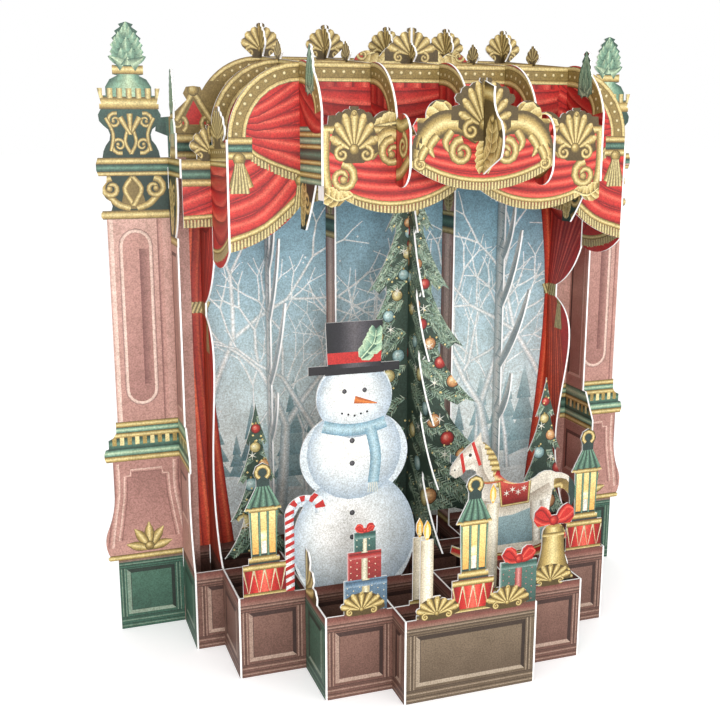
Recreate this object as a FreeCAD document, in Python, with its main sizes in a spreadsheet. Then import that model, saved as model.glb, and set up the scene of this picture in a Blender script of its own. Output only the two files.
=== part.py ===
import FreeCAD, Part
import math
import os
from types import SimpleNamespace

from FreeCAD import Vector

# Greeting card: a free-standing pop-up theatre of die-cut card.
# Front-facing sheets and side-facing ribs cross at right angles in half-lap slots.
# X runs to the right, Y to the back and Z up. The origin is at the middle of the foot.

# Driving sizes in millimetres
SIZES = [
    ("card_thickness", 0.5),
    ("slot_clearance", 0.1),
    ("glue_line", 0.05),
    ("flap_length", 4.5),
    ("overlap", 0.6),
    # plan of the lattice
    ("rib_spacing", 19.0),
    ("outer_gap", 8.3),
    ("crest_reach", 10.6),
    ("box_gap", 8.8),
    ("pit_gap", 18.6),
    ("stage_gap", 20.5),
    ("back_gap", 20.0),
    ("rear_tail", 6.0),
    # base panels
    ("base_height", 23.8),
    ("base_lap", 11.3),
    ("hook_height", 12.5),
    ("hook_drop", 6.0),
    # arched frames of the three rear sheets
    ("arch_top", 165.4),
    ("arch_step", 1.9),
    ("arch_radius", 19.0),
    ("arch_lap", 156.0),
    ("swag_end", 118.4),
    ("swag_gather", 130.0),
    ("swag_middle", 134.0),
    ("fir_swag_end", 123.1),
    ("beam_foot", 132.0),
    ("curtain_beam_top", 144.6),
    ("curtain_lap", 133.0),
    ("pillar_lap", 126.0),
    # valances of the pit and the front box
    ("pit_top", 151.0),
    ("pit_foot", 131.5),
    ("pit_lap", 141.5),
    ("crest_top", 153.0),
    ("crest_foot", 134.5),
    ("crest_side_foot", 140.2),
    ("crest_lap", 148.0),
    # big pilasters
    ("pilaster_gap", 10.2),
    ("shaft_width", 15.2),
    ("waist_level", 53.2),
    ("waist_height", 12.1),
    ("capital_level", 124.2),
    ("capital_height", 12.0),
    ("band_height", 5.0),
    ("block_height", 13.1),
    ("crown_height", 5.6),
    ("vase_height", 6.1),
    ("finial_height", 11.4),
    # side-facing pillars on the ribs
    ("rib_shaft_width", 11.2),
    ("rib_capital_foot", 117.0),
    ("rib_crown_width", 9.0),
    ("rib_finial_width", 7.0),
    ("post_width", 8.6),
    # shells and palmettes
    ("shell_width", 12.2),
    ("shell_height", 9.6),
    ("small_shell_width", 8.4),
    ("small_shell_height", 5.6),
    ("crest_shell_width", 17.0),
    ("crest_shell_height", 8.5),
    ("rail_shell_width", 12.6),
    ("rail_shell_height", 6.6),
    ("palmette_height", 13.0),
    ("palmette_width", 10.0),
    # curtains on their ribs
    ("tie_level", 98.0),
    ("tie_width", 5.6),
    ("curtain_fullness", 20.0),
    # trees
    ("fir_width", 62.0),
    ("fir_top", 140.0),
    ("fir_foot", 34.0),
    ("fir_lap", 82.0),
    ("trunk_width", 6.0),
    ("fir_reach", 28.0),
    ("fir_back_reach", 9.0),
    ("branch_width", 5.0),
    ("branch_reach", 20.0),
    ("sapling_width", 20.0),
    ("sapling_height", 50.0),
    # standing cut-outs
    ("snowman_width", 36.0),
    ("horse_length", 38.0),
    ("lantern_width", 12.0),
    ("drum_height", 10.0),
    ("cane_height", 28.0),
    ("gift_width", 12.0),
    ("bell_width", 14.0),
    ("candle_width", 3.6),
]

doc = FreeCAD.newDocument("TheatreCard")
sheet = doc.addObject("Spreadsheet::Sheet", "Sizes")
for row, (name, value) in enumerate(SIZES, 1):
    sheet.set(f"A{row}", name)
    sheet.set(f"B{row}", str(value))
    sheet.setAlias(f"B{row}", name)
doc.recompute()
s = SimpleNamespace(**{name: float(sheet.get(name)) for name, _ in SIZES})

# Places of the sheets in depth, as expressions on the spreadsheet and as numbers
GAPS = ("crest_reach", "box_gap", "pit_gap", "stage_gap", "back_gap", "rear_tail")
DEPTH = "(" + " + ".join(f"Sizes.{gap}" for gap in GAPS) + ")"
Y_BOX = f"(Sizes.crest_reach - {DEPTH} / 2)"
Y_PIT = f"({Y_BOX} + Sizes.box_gap)"
Y_STAGE = f"({Y_PIT} + Sizes.pit_gap)"
Y_FIR = f"({Y_STAGE} + Sizes.stage_gap)"
Y_BACK = f"({Y_FIR} + Sizes.back_gap)"

depth = s.crest_reach + s.box_gap + s.pit_gap + s.stage_gap + s.back_gap + s.rear_tail
y_box = s.crest_reach - depth / 2
y_pit = y_box + s.box_gap
y_stage = y_pit + s.pit_gap
y_fir = y_stage + s.stage_gap
y_back = y_fir + s.back_gap
y_tail = y_back + s.rear_tail

half_card = s.card_thickness / 2
slot_width = s.card_thickness + 2 * s.slot_clearance
corner_gap = half_card + s.glue_line
before_back = y_back - slot_width
outer_x = 3 * s.rib_spacing + s.outer_gap
pilaster_x = outer_x + s.pilaster_gap
band_foot = s.capital_level + s.capital_height
shoulder = band_foot + s.band_height
screen_top = s.arch_top + s.arch_step
back_top = s.arch_top + 2 * s.arch_step
above = s.arch_top + 3 * s.finial_height
below = -s.base_height

inner_ribs = [n * s.rib_spacing for n in (-1, 0, 1)]
middle_ribs = [n * s.rib_spacing for n in (-2, -1, 0, 1, 2)]
curtain_ribs = [-3 * s.rib_spacing, 3 * s.rib_spacing]
outer_ribs = [-outer_x, outer_x]


# An arc with its ends closer than this is cut as straight lines.
SMALL_ARC = 7.0


# Outlines are lists: a starting point, then steps. A step of one point is a straight line,
# one of two points is an arc through the first, and a longer one is a smooth curve.
def moved(path, across, up, flip=False):
    """The outline moved, after mirroring it left to right if asked."""
    way = -1 if flip else 1

    def place(point):
        return (across + way * point[0], up + point[1])

    return [place(path[0])] + [[place(p) for p in step] for step in path[1:]]


def backwards(path):
    """The same outline followed from its end to its start."""
    turned = [path[-1][-1]]
    for index in range(len(path) - 1, 0, -1):
        before = path[0] if index == 1 else path[index - 1][-1]
        turned.append(path[index][-2::-1] + [before])
    return turned


def joined(path, more):
    """One outline after another, with a straight line between them."""
    return path + [[more[0]]] + more[1:]


def two_sided(right, left):
    """A closed outline from a right half and the left half's mirror image, both from foot to top."""
    return joined(right, moved(backwards(left), 0.0, 0.0, flip=True))


def symmetric(half):
    return two_sided(half, half)


def geometry(path):
    """The sketch geometry of a closed outline. Small arcs are cut as three straight lines."""
    made = []
    here = path[0]
    for step in path[1:] + [[path[0]]]:
        points = [Vector(p[0], p[1], 0) for p in [here] + step]
        here = step[-1]
        if points[0].distanceToPoint(points[-1]) < 1e-6:
            continue
        if len(points) == 2:
            made.append(Part.LineSegment(points[0], points[1]))
        elif len(points) == 3:
            arc = Part.Arc(points[0], points[1], points[2])
            if points[0].distanceToPoint(points[2]) > SMALL_ARC:
                made.append(arc)
                continue
            corners = [points[0]] + arc.discretize(Number=4)[1:3] + [points[2]]
            made += [Part.LineSegment(start, end) for start, end in zip(corners, corners[1:])]
        else:
            curve = Part.BSplineCurve()
            curve.interpolate(points)
            made.append(curve)
    return made


def rectangle(left, foot, right, top):
    return [(left, foot), [(right, foot)], [(right, top)], [(left, top)]]


def slot(at, low, high):
    """A slot that takes one thickness of card."""
    return rectangle(at - slot_width / 2, low, at + slot_width / 2, high)


# Ornaments
def shell(width, height):
    """A scallop shell on its foot: a fan of rounded lobes with a knob on top."""
    lobes = 3
    waist = 0.25 * height
    rise = 0.86 * height - waist
    reach = 0.45 * width
    first = math.radians(8)
    turn = (math.radians(82) - first) / lobes
    half = [(0.15 * width, 0.0), [(reach * math.cos(first), waist + rise * math.sin(first))]]
    for lobe in range(lobes):
        middle = first + (lobe + 0.5) * turn
        end = first + (lobe + 1) * turn
        half.append([
            (1.1 * reach * math.cos(middle), waist + 1.1 * rise * math.sin(middle)),
            (reach * math.cos(end), waist + rise * math.sin(end)),
        ])
    half.append([(0.10 * width, 0.95 * height), (0.04 * width, height)])
    return symmetric(half)


def pineapple(width, height):
    """The right half of a pineapple finial: leaves at its foot, stepped scales and a tip."""
    half = [(0.28 * width, 0.0), [(0.38 * width, 0.06 * height), (0.5 * width, 0.2 * height)]]
    scales = 5
    for scale in range(scales):
        level = 0.2 + 0.8 * scale / scales
        girth = 0.44 * math.cos(math.pi / 2 * scale / scales) ** 0.7
        half.append([((girth - 0.05) * width, (level + 0.04) * height)])
        half.append([(girth * width, (level + 0.1) * height)])
    half.append([(0.0, height)])
    return half


def palmette(width, height):
    """Half a palmette that leans on the sheet behind it: three curled leaves."""
    return [
        (0.0, 0.0),
        [(width, 0.0)],
        [(1.02 * width, 0.22 * height), (0.62 * width, 0.30 * height)],
        [(0.74 * width, 0.55 * height), (0.36 * width, 0.62 * height)],
        [(0.36 * width, 0.92 * height), (0.0, height)],
    ]


def fir_half(reach, height, trunk, trunk_height, tiers):
    """The right half of a fir with drooping tiers on a trunk."""
    half = [(trunk / 2, 0.0), [(trunk / 2, trunk_height)]]
    rise = (height - trunk_height) / tiers
    girths = [reach * (1 - tier / tiers) ** 0.8 for tier in range(tiers + 1)]
    for tier, girth in enumerate(girths[:-1]):
        level = trunk_height + tier * rise
        inner = 0.5 * girths[tier + 1] + 0.02 * reach
        half.append([(0.5 * girth + 0.02 * reach, level)])
        half.append([(0.72 * girth, level - 0.13 * rise)])
        half.append([(0.84 * girth, level - 0.04 * rise)])
        half.append([(girth, level - 0.11 * rise)])
        half.append([(0.44 * girth + inner / 2, level + 0.36 * rise), (inner, level + 0.86 * rise)])
    half.append([(0.0, height)])
    return half


def fir(width, height, trunk, trunk_height, tiers):
    return symmetric(fir_half(width / 2, height, trunk, trunk_height, tiers))


# Sheets are bodies of pads and pockets in one plane.
class Sheet:
    """One die-cut sheet. Its plane is XZ for a layer and YZ for a rib."""

    def __init__(self, label, role, place):
        self.body = doc.addObject("PartDesign::Body", label)
        self.body.Label = label
        self.plane = next(f for f in self.body.Origin.OriginFeatures if f.Role == role)
        self.offset = f"-{place}" if role == "XZ_Plane" else place
        self.count = 0

    def sketch(self, paths):
        self.count += 1
        sketch = self.body.newObject("Sketcher::SketchObject", f"{self.body.Name}_outline_{self.count}")
        sketch.AttachmentSupport = [(self.plane, "")]
        sketch.MapMode = "FlatFace"
        sketch.setExpression(".AttachmentOffset.Base.z", self.offset)
        for path in paths:
            sketch.addGeometry(geometry(path), False)
        return sketch

    def add(self, *paths):
        """Adds card inside outlines that lie clear of each other."""
        profile = self.sketch(paths)
        pad = self.body.newObject("PartDesign::Pad", f"{self.body.Name}_card_{self.count}")
        pad.Profile = profile
        pad.SideType = "Symmetric"
        pad.Refine = False
        pad.setExpression("Length", "Sizes.card_thickness")

    def cut(self, *paths):
        """Cuts slots and windows right through."""
        profile = self.sketch(paths)
        pocket = self.body.newObject("PartDesign::Pocket", f"{self.body.Name}_cut_{self.count}")
        pocket.Profile = profile
        pocket.SideType = "Symmetric"
        pocket.Type = "ThroughAll"

    def flaps(self, end, foot, top):
        """Folds a glue flap back at both ends, against the inner faces of the ribs."""
        ends = [sorted((side * (end - s.card_thickness), side * end)) for side in (-1, 1)]
        profile = self.sketch([rectangle(inner, foot, outer, top) for inner, outer in ends])
        pad = self.body.newObject("PartDesign::Pad", f"{self.body.Name}_flap_{self.count}")
        pad.Profile = profile
        pad.Reversed = True
        pad.setExpression("Length", "Sizes.flap_length")


def layer(label, place):
    return Sheet(label, "XZ_Plane", place)


def base_slots(ribs):
    """Slots for ribs in a layer's base panel, open at the rail."""
    return [slot(x, s.base_lap, s.base_height + s.overlap) for x in ribs]


def valance(end, end_foot, end_top, spring_end, top):
    """An arched valance: three swags along its foot, and two quarter arcs with a bar over it."""
    gather = 2 * s.rib_spacing
    between = (end + gather) / 2
    sag = (end_foot + s.swag_gather) / 2 - 0.12 * s.rib_spacing
    bend = s.arch_radius * (1 - math.sqrt(0.5))
    flat = spring_end - s.arch_radius
    right = [
        (end, end_top),
        [(spring_end, end_top)],
        [(spring_end, top - s.arch_radius)],
        [(spring_end - bend, top - bend), (flat, top)],
    ]
    over = joined(right, moved(backwards(right), 0.0, 0.0, flip=True))
    foot = [
        (-end, end_foot),
        [(-between, sag), (-gather, s.swag_gather)],
        [(0.0, s.swag_middle), (gather, s.swag_gather)],
        [(between, sag), (end, end_foot)],
    ]
    return joined(over, foot)


# Big pilaster
def pilaster():
    """A front-facing pilaster, from its base panel to its pineapple."""
    w = s.shaft_width / 2
    waist = s.waist_level
    waist_top = waist + s.waist_height
    bar = 0.2 * s.capital_height
    level = s.capital_level
    block = shoulder
    crown = block + s.block_height
    vase = crown + s.crown_height
    pine = vase + s.vase_height
    half = [
        (1.24 * w, 0.0),
        [(1.24 * w, 0.94 * s.base_height)],
        [(1.55 * w, 0.94 * s.base_height)],
        [(1.63 * w, 0.97 * s.base_height), (1.55 * w, s.base_height)],
        [(1.68 * w, 1.17 * s.base_height), (1.60 * w, 1.33 * s.base_height)],
        [(1.36 * w, 1.55 * s.base_height), (1.26 * w, 1.85 * s.base_height)],
        [(1.26 * w, waist)],
        [(1.50 * w, waist)],
        [(1.57 * w, waist + 0.16 * s.waist_height), (1.50 * w, waist + 0.32 * s.waist_height)],
        [(1.38 * w, waist + 0.34 * s.waist_height)],
        [(1.38 * w, waist + 0.55 * s.waist_height)],
        [(1.12 * w, waist + 0.66 * s.waist_height), (1.07 * w, waist + 0.86 * s.waist_height)],
        [(1.07 * w, waist_top)],
        [(w, waist_top)],
        [(w, level)],
        [(1.13 * w, level)],
        [(1.20 * w, level + bar / 2), (1.13 * w, level + bar)],
        [(0.82 * w, level + bar)],
        [(0.78 * w, level + 1.8 * bar), (0.98 * w, level + 2.4 * bar)],
        [(1.12 * w, level + 3.2 * bar), (0.95 * w, level + 4.3 * bar)],
        [(0.93 * w, band_foot)],
        [(1.22 * w, band_foot)],
        [(1.30 * w, block - s.band_height / 2), (1.22 * w, block)],
        [(1.04 * w, block)],
        [(0.98 * w, block + 0.16 * s.block_height), (0.76 * w, block + 0.36 * s.block_height)],
        [(0.74 * w, block + 0.52 * s.block_height), (0.95 * w, block + 0.66 * s.block_height)],
        [(1.13 * w, block + 0.85 * s.block_height), (1.02 * w, crown)],
        [(1.06 * w, crown)],
        [(1.06 * w, crown + 0.25 * s.crown_height)],
        [(0.99 * w, crown + 0.25 * s.crown_height)],
        [(1.12 * w, vase)],
        [(0.94 * w, vase)],
        [(0.94 * w, vase - 0.35 * s.crown_height)],
        [(0.82 * w, vase - 0.35 * s.crown_height)],
        [(0.72 * w, vase + 0.3 * s.vase_height), (0.38 * w, vase + 0.55 * s.vase_height)],
        [(0.55 * w, vase + 0.6 * s.vase_height)],
        [(0.55 * w, pine)],
    ]
    return symmetric(joined(half, moved(pineapple(1.36 * w, s.finial_height), 0.0, pine)))


# Standing cut-outs
def snowman():
    """Three stacked snowballs with a tall hat."""
    r = s.snowman_width / 2
    return symmetric([
        (0.75 * r, 0.0),
        [(r, 0.85 * r), (0.62 * r, 1.62 * r)],
        [(0.86 * r, 2.2 * r), (0.5 * r, 2.72 * r)],
        [(0.60 * r, 3.1 * r), (0.46 * r, 3.42 * r)],
        [(0.72 * r, 3.42 * r)],
        [(0.72 * r, 3.55 * r)],
        [(0.42 * r, 3.55 * r)],
        [(0.45 * r, 4.2 * r)],
    ])


def rocking_horse():
    """A rocking horse on two rockers, looking to the left."""
    k = s.horse_length / 10
    return [
        (-5.0 * k, 1.2 * k),
        [(0.0, -0.4 * k), (5.0 * k, 1.2 * k)],
        [(4.9 * k, 1.8 * k)],
        [(3.9 * k, 1.35 * k), (3.1 * k, 1.1 * k)],
        [(3.3 * k, 3.2 * k), (3.6 * k, 5.4 * k)],
        [(4.9 * k, 5.0 * k), (4.9 * k, 3.4 * k)],
        [(5.6 * k, 5.4 * k), (3.9 * k, 6.7 * k)],
        [(3.3 * k, 6.95 * k), (2.4 * k, 6.8 * k)],
        [(0.6 * k, 6.2 * k), (-1.0 * k, 7.1 * k)],
        [(-1.5 * k, 8.8 * k), (-2.6 * k, 9.9 * k)],
        [(-2.7 * k, 10.6 * k)],
        [(-3.2 * k, 10.0 * k)],
        [(-4.2 * k, 9.2 * k), (-5.1 * k, 8.1 * k)],
        [(-5.0 * k, 7.3 * k), (-4.2 * k, 7.4 * k)],
        [(-3.5 * k, 7.8 * k), (-3.0 * k, 7.5 * k)],
        [(-3.0 * k, 5.6 * k), (-2.9 * k, 4.0 * k)],
        [(-3.0 * k, 2.4 * k), (-3.1 * k, 1.1 * k)],
        [(-3.9 * k, 1.35 * k), (-4.9 * k, 1.8 * k)],
    ]


def lantern():
    """A lantern with a peaked roof and a ring, on a toy drum."""
    w = s.lantern_width / 2
    foot = s.drum_height
    return symmetric([
        (w, 0.0),
        [(w, foot)],
        [(0.72 * w, foot)],
        [(0.72 * w, foot + 0.3 * w)],
        [(0.58 * w, foot + 0.3 * w)],
        [(0.66 * w, foot + 2.6 * w)],
        [(0.86 * w, foot + 2.6 * w)],
        [(0.3 * w, foot + 3.7 * w)],
        [(0.3 * w, foot + 4.0 * w)],
        [(0.42 * w, foot + 4.4 * w), (0.0, foot + 4.8 * w)],
    ])


def cane():
    """A candy cane with its hook to the right."""
    r = 0.16 * s.cane_height
    half = 0.28 * r
    straight = s.cane_height - r
    return [
        (-half, 0.0),
        [(half, 0.0)],
        [(half, straight - half)],
        [(r, straight + r - 2 * half), (2 * r - half, straight - half)],
        [(2 * r, straight - 3 * half), (2 * r + half, straight - half)],
        [(r, straight + r + 0.2 * half), (-half, straight - half)],
    ]


def gift(width, height):
    """A wrapped box with a bow of two loops."""
    w = width / 2
    return symmetric([
        (w, 0.0),
        [(w, height)],
        [(0.3 * w, height)],
        [(0.85 * w, height + 0.1 * w), (0.7 * w, height + 0.75 * w)],
        [(0.35 * w, height + 0.75 * w), (0.12 * w, height + 0.35 * w)],
    ])


def gift_stack():
    """Three wrapped boxes, each smaller than the one under it."""
    w = s.gift_width
    low = rectangle(-w / 2, 0.0, w / 2, 0.85 * w)
    middle = rectangle(-0.42 * w, 0.8 * w, 0.36 * w, 1.5 * w)
    return [low, middle, moved(gift(0.5 * w, 0.5 * w), -0.02 * w, 1.45 * w)]


def bell():
    """A hand bell hung in an open bow."""
    w = s.bell_width / 2
    return symmetric([
        (0.3 * w, 0.0),
        [(0.3 * w, 0.2 * w)],
        [(w, 0.2 * w)],
        [(0.9 * w, 0.45 * w)],
        [(0.58 * w, 1.2 * w), (0.5 * w, 2.2 * w)],
        [(0.36 * w, 2.55 * w), (0.16 * w, 2.65 * w)],
        [(0.7 * w, 2.55 * w)],
        [(0.9 * w, 3.1 * w), (0.6 * w, 3.45 * w)],
        [(0.3 * w, 3.3 * w), (0.12 * w, 3.0 * w)],
    ])


def candle(height):
    """A candle with a flame, on a small dish."""
    w = s.candle_width / 2
    return symmetric([
        (1.5 * w, 0.0),
        [(1.5 * w, w)],
        [(w, w)],
        [(w, height - 3 * w)],
        [(0.15 * w, height - 3 * w)],
        [(0.55 * w, height - 2 * w), (0.0, height)],
    ])


# Rear sheet: winter backdrop, side curtains, arch and the two big pilasters
def back_scene():
    made = layer("back_scene", Y_BACK)
    spring_end = outer_x - 0.4 * s.rib_spacing
    bend = s.arch_radius * (1 - math.sqrt(0.5))
    half = [
        (pilaster_x, 0.0),
        [(pilaster_x, shoulder)],
        [(spring_end, shoulder)],
        [(spring_end, back_top - s.arch_radius)],
        [(spring_end - bend, back_top - bend), (spring_end - s.arch_radius, back_top)],
    ]
    made.add(symmetric(half))
    bracket = [
        (0.40 * s.rib_spacing, 0.0),
        [(0.40 * s.rib_spacing, 0.34 * s.rib_spacing)],
        [(0.60 * s.rib_spacing, 0.50 * s.rib_spacing), (0.36 * s.rib_spacing, 0.62 * s.rib_spacing)],
        [(0.10 * s.rib_spacing, 0.86 * s.rib_spacing)],
        [(0.15 * s.rib_spacing, 0.98 * s.rib_spacing), (0.0, 1.06 * s.rib_spacing)],
    ]
    made.add(*[moved(pilaster(), side * pilaster_x, 0.0) for side in (-1, 1)])
    made.add(*[moved(symmetric(bracket), side * spring_end, shoulder - s.overlap) for side in (-1, 1)])
    made.add(*[moved(shell(s.shell_width, s.shell_height), x, back_top - s.overlap) for x in middle_ribs])
    ribs = outer_ribs + curtain_ribs + middle_ribs
    made.cut(*[slot(x, s.base_lap, s.base_lap + s.hook_height) for x in ribs])
    made.cut(*[slot(x, s.pillar_lap, s.pillar_lap + s.hook_height) for x in outer_ribs])
    made.cut(*[slot(x, s.curtain_lap, s.curtain_lap + s.hook_height) for x in curtain_ribs])
    made.cut(*[slot(x, s.arch_lap, above) for x in middle_ribs])
    return made.body


# Second sheet: a fir joins its base panel to its valance. The middle rib's fir crosses it.
def fir_screen():
    made = layer("fir_screen", Y_FIR)
    end = outer_x - corner_gap
    arch_end = 3 * s.rib_spacing
    foot = s.base_height - s.overlap
    arch = valance(end, s.fir_swag_end, shoulder, arch_end, screen_top)
    made.add(arch, rectangle(-end, 0.0, end, s.base_height))
    made.add(moved(fir(s.fir_width, s.fir_top - foot, s.trunk_width, s.fir_foot - foot, 6), 0.0, foot))
    wing = symmetric([
        (0.9 * s.rib_spacing, -s.overlap),
        [(0.72 * s.rib_spacing, 0.14 * s.rib_spacing), (0.5 * s.rib_spacing, 0.06 * s.rib_spacing)],
        [(0.3 * s.rib_spacing, 0.24 * s.rib_spacing), (0.1 * s.rib_spacing, 0.3 * s.rib_spacing)],
    ])
    made.add(moved(wing, 0.0, screen_top))
    made.add(moved(shell(1.2 * s.shell_width, s.shell_height), 0.0, screen_top - s.overlap))
    ornament = shell(s.shell_width, s.shell_height)
    ends = [moved(ornament, side * arch_end, shoulder - s.overlap) for side in (-1, 1)]
    sapling = fir(s.sapling_width, s.sapling_height, s.trunk_width / 2, 0.1 * s.sapling_height, 4)
    made.add(*ends, *[moved(sapling, side * 2.45 * s.rib_spacing, foot) for side in (-1, 1)])
    made.flaps(end, band_foot + s.glue_line, shoulder - s.glue_line)
    made.flaps(end, 0.1 * s.base_height, 0.9 * s.base_height)
    side_ribs = [x for x in middle_ribs if x != 0.0]
    made.cut(*[slot(x, s.arch_lap, above) for x in side_ribs], slot(0.0, s.fir_lap, above))
    made.cut(*[slot(x, s.curtain_lap, above) for x in curtain_ribs], *base_slots(curtain_ribs + side_ribs))
    return made.body


# Third sheet
def stage_valance():
    made = layer("stage_valance", Y_STAGE)
    end = 3 * s.rib_spacing - corner_gap
    spring = s.arch_top - s.arch_radius
    made.add(valance(end, s.swag_end, spring, end, s.arch_top))
    made.flaps(end, s.swag_end + s.overlap, spring - s.overlap)
    made.cut(*[slot(x, s.arch_lap, above) for x in middle_ribs])
    return made.body


def stage_front():
    made = layer("stage_front", Y_STAGE)
    end = 3 * s.rib_spacing - corner_gap
    foot = s.base_height - s.overlap
    made.add(rectangle(-end, 0.0, end, s.base_height))
    made.add(
        moved(snowman(), -1.25 * s.rib_spacing, foot),
        moved(rocking_horse(), 1.3 * s.rib_spacing, foot + 0.02 * s.horse_length),
        moved(lantern(), -2.62 * s.rib_spacing, foot),
        moved(lantern(), 2.62 * s.rib_spacing, foot),
    )
    made.add(moved(cane(), -2.24 * s.rib_spacing, foot))
    made.flaps(end, 0.1 * s.base_height, 0.9 * s.base_height)
    made.cut(*base_slots(middle_ribs))
    return made.body


# Fourth sheet
def pit_valance():
    """A valance with a shell over each end and a pair of swags along its foot."""
    made = layer("pit_valance", Y_PIT)
    end = 2 * s.rib_spacing - corner_gap
    u = s.rib_spacing
    top = s.pit_top
    half_top = [
        (end, top - 0.06 * u),
        [(1.93 * u, top - 0.05 * u)],
        [(1.86 * u, top + 0.08 * u), (1.78 * u, top - 0.04 * u)],
        [(1.35 * u, top - 0.1 * u)],
        [(1.15 * u, top + 0.12 * u), (0.95 * u, top - 0.02 * u)],
        [(0.5 * u, top - 0.12 * u), (0.0, top)],
    ]
    foot = [
        (-end, s.pit_foot),
        [(-1.85 * u, s.pit_foot - 0.05 * u), (-1.7 * u, s.pit_foot + 0.04 * u)],
        [(-0.95 * u, s.pit_foot - 0.14 * u), (-0.2 * u, s.pit_foot + 0.12 * u)],
        [(0.0, s.pit_foot + 0.2 * u), (0.2 * u, s.pit_foot + 0.12 * u)],
        [(0.95 * u, s.pit_foot - 0.14 * u), (1.7 * u, s.pit_foot + 0.04 * u)],
        [(1.85 * u, s.pit_foot - 0.05 * u), (end, s.pit_foot)],
    ]
    over = joined(half_top, moved(backwards(half_top), 0.0, 0.0, flip=True))
    made.add(joined(over, foot))
    ends = shell(s.shell_width, 0.6 * s.shell_height)
    made.add(*[moved(ends, side * 1.58 * u, top - 0.1 * u - s.overlap) for side in (-1, 1)])
    made.flaps(end, s.pit_foot + s.overlap, top - 0.1 * u)
    made.cut(*[slot(x, s.pit_lap, above) for x in inner_ribs])
    return made.body


def pit_front():
    made = layer("pit_front", Y_PIT)
    end = 2 * s.rib_spacing - corner_gap
    foot = s.base_height - s.overlap
    made.add(rectangle(-end, 0.0, end, s.base_height))
    rail_shell = shell(s.rail_shell_width, s.rail_shell_height)
    made.add(*[moved(rail_shell, side * 1.48 * s.rib_spacing, foot) for side in (-1, 1)])
    low, middle, high = [moved(box, -1.42 * s.rib_spacing, foot) for box in gift_stack()]
    made.add(low, moved(bell(), 1.5 * s.rib_spacing, foot))
    made.add(middle, moved(candle(0.9 * s.cane_height), -0.62 * s.rib_spacing, foot))
    made.add(high, moved(candle(1.15 * s.cane_height), 0.5 * s.rib_spacing, foot))
    made.flaps(end, 0.1 * s.base_height, 0.9 * s.base_height)
    made.cut(*base_slots(inner_ribs))
    return made.body


# Front sheet
def crest_valance():
    """A swag with acanthus arms and the big shell in the middle."""
    made = layer("crest_valance", Y_BOX)
    u = s.rib_spacing
    end = u - corner_gap
    top = s.crest_top
    half = [
        (end, s.crest_side_foot),
        [(end, top - 0.3 * u)],
        [(0.92 * u, top - 0.28 * u)],
        [(0.91 * u, top - 0.08 * u), (0.8 * u, top - 0.08 * u)],
        [(0.7 * u, top + 0.12 * u), (0.45 * u, top + 0.06 * u)],
        [(0.3 * u, top + 0.1 * u)],
    ]
    over = joined(half, moved(backwards(half), 0.0, 0.0, flip=True))
    over.append([(0.0, s.crest_foot), (end, s.crest_side_foot)])
    made.add(over)
    made.add(moved(shell(s.crest_shell_width, s.crest_shell_height), 0.0, top - s.overlap))
    made.flaps(end, s.crest_side_foot + s.overlap, top - 0.3 * u)
    made.cut(slot(0.0, s.crest_lap, above))
    return made.body


def box_front():
    made = layer("box_front", Y_BOX)
    end = s.rib_spacing - corner_gap
    foot = s.base_height - s.overlap
    made.add(rectangle(-end, 0.0, end, s.base_height))
    rail_shell = shell(s.rail_shell_width, s.rail_shell_height)
    made.add(*[moved(rail_shell, side * 0.54 * s.rib_spacing, foot) for side in (-1, 1)])
    made.add(
        moved(lantern(), 0.0, foot),
        moved(candle(s.cane_height), -0.7 * s.rib_spacing, foot),
        moved(gift(0.9 * s.gift_width, 1.1 * s.gift_width), 0.7 * s.rib_spacing, foot),
    )
    made.flaps(end, 0.1 * s.base_height, 0.9 * s.base_height)
    return made.body


# Ribs. Their outlines run in Y and Z, and their slots are open at the foot.
def rib(label, place, front, crossings):
    """A rib's base panel with its slots, and the hook that holds it behind the rear sheet."""
    made = Sheet(label, "YZ_Plane", place)
    made.add(rectangle(front, 0.0, before_back, s.base_height))
    hook = s.base_lap - s.hook_drop
    made.add(rectangle(before_back - s.overlap, hook, y_tail, hook + s.hook_height - s.slot_clearance))
    made.cut(*[slot(y, below, s.base_lap) for y in crossings + [y_back]])
    return made


def pillar(made, axis, foot):
    """The crown, vase and pineapple on top of a side-facing pillar."""
    w = s.rib_crown_width / 2
    crown_top = 1.2 * s.crown_height
    half = [
        (0.85 * w, -s.overlap),
        [(w, crown_top)],
        [(0.62 * w, crown_top)],
        [(0.55 * w, crown_top + 0.4 * s.vase_height), (0.3 * w, crown_top + 0.6 * s.vase_height)],
        [(0.5 * w, crown_top + 0.65 * s.vase_height)],
        [(0.5 * w, crown_top + 0.9 * s.vase_height)],
    ]
    pine = moved(pineapple(s.rib_finial_width, s.finial_height), 0.0, crown_top + 0.9 * s.vase_height)
    made.add(moved(symmetric(joined(half, pine)), axis, foot))


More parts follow.
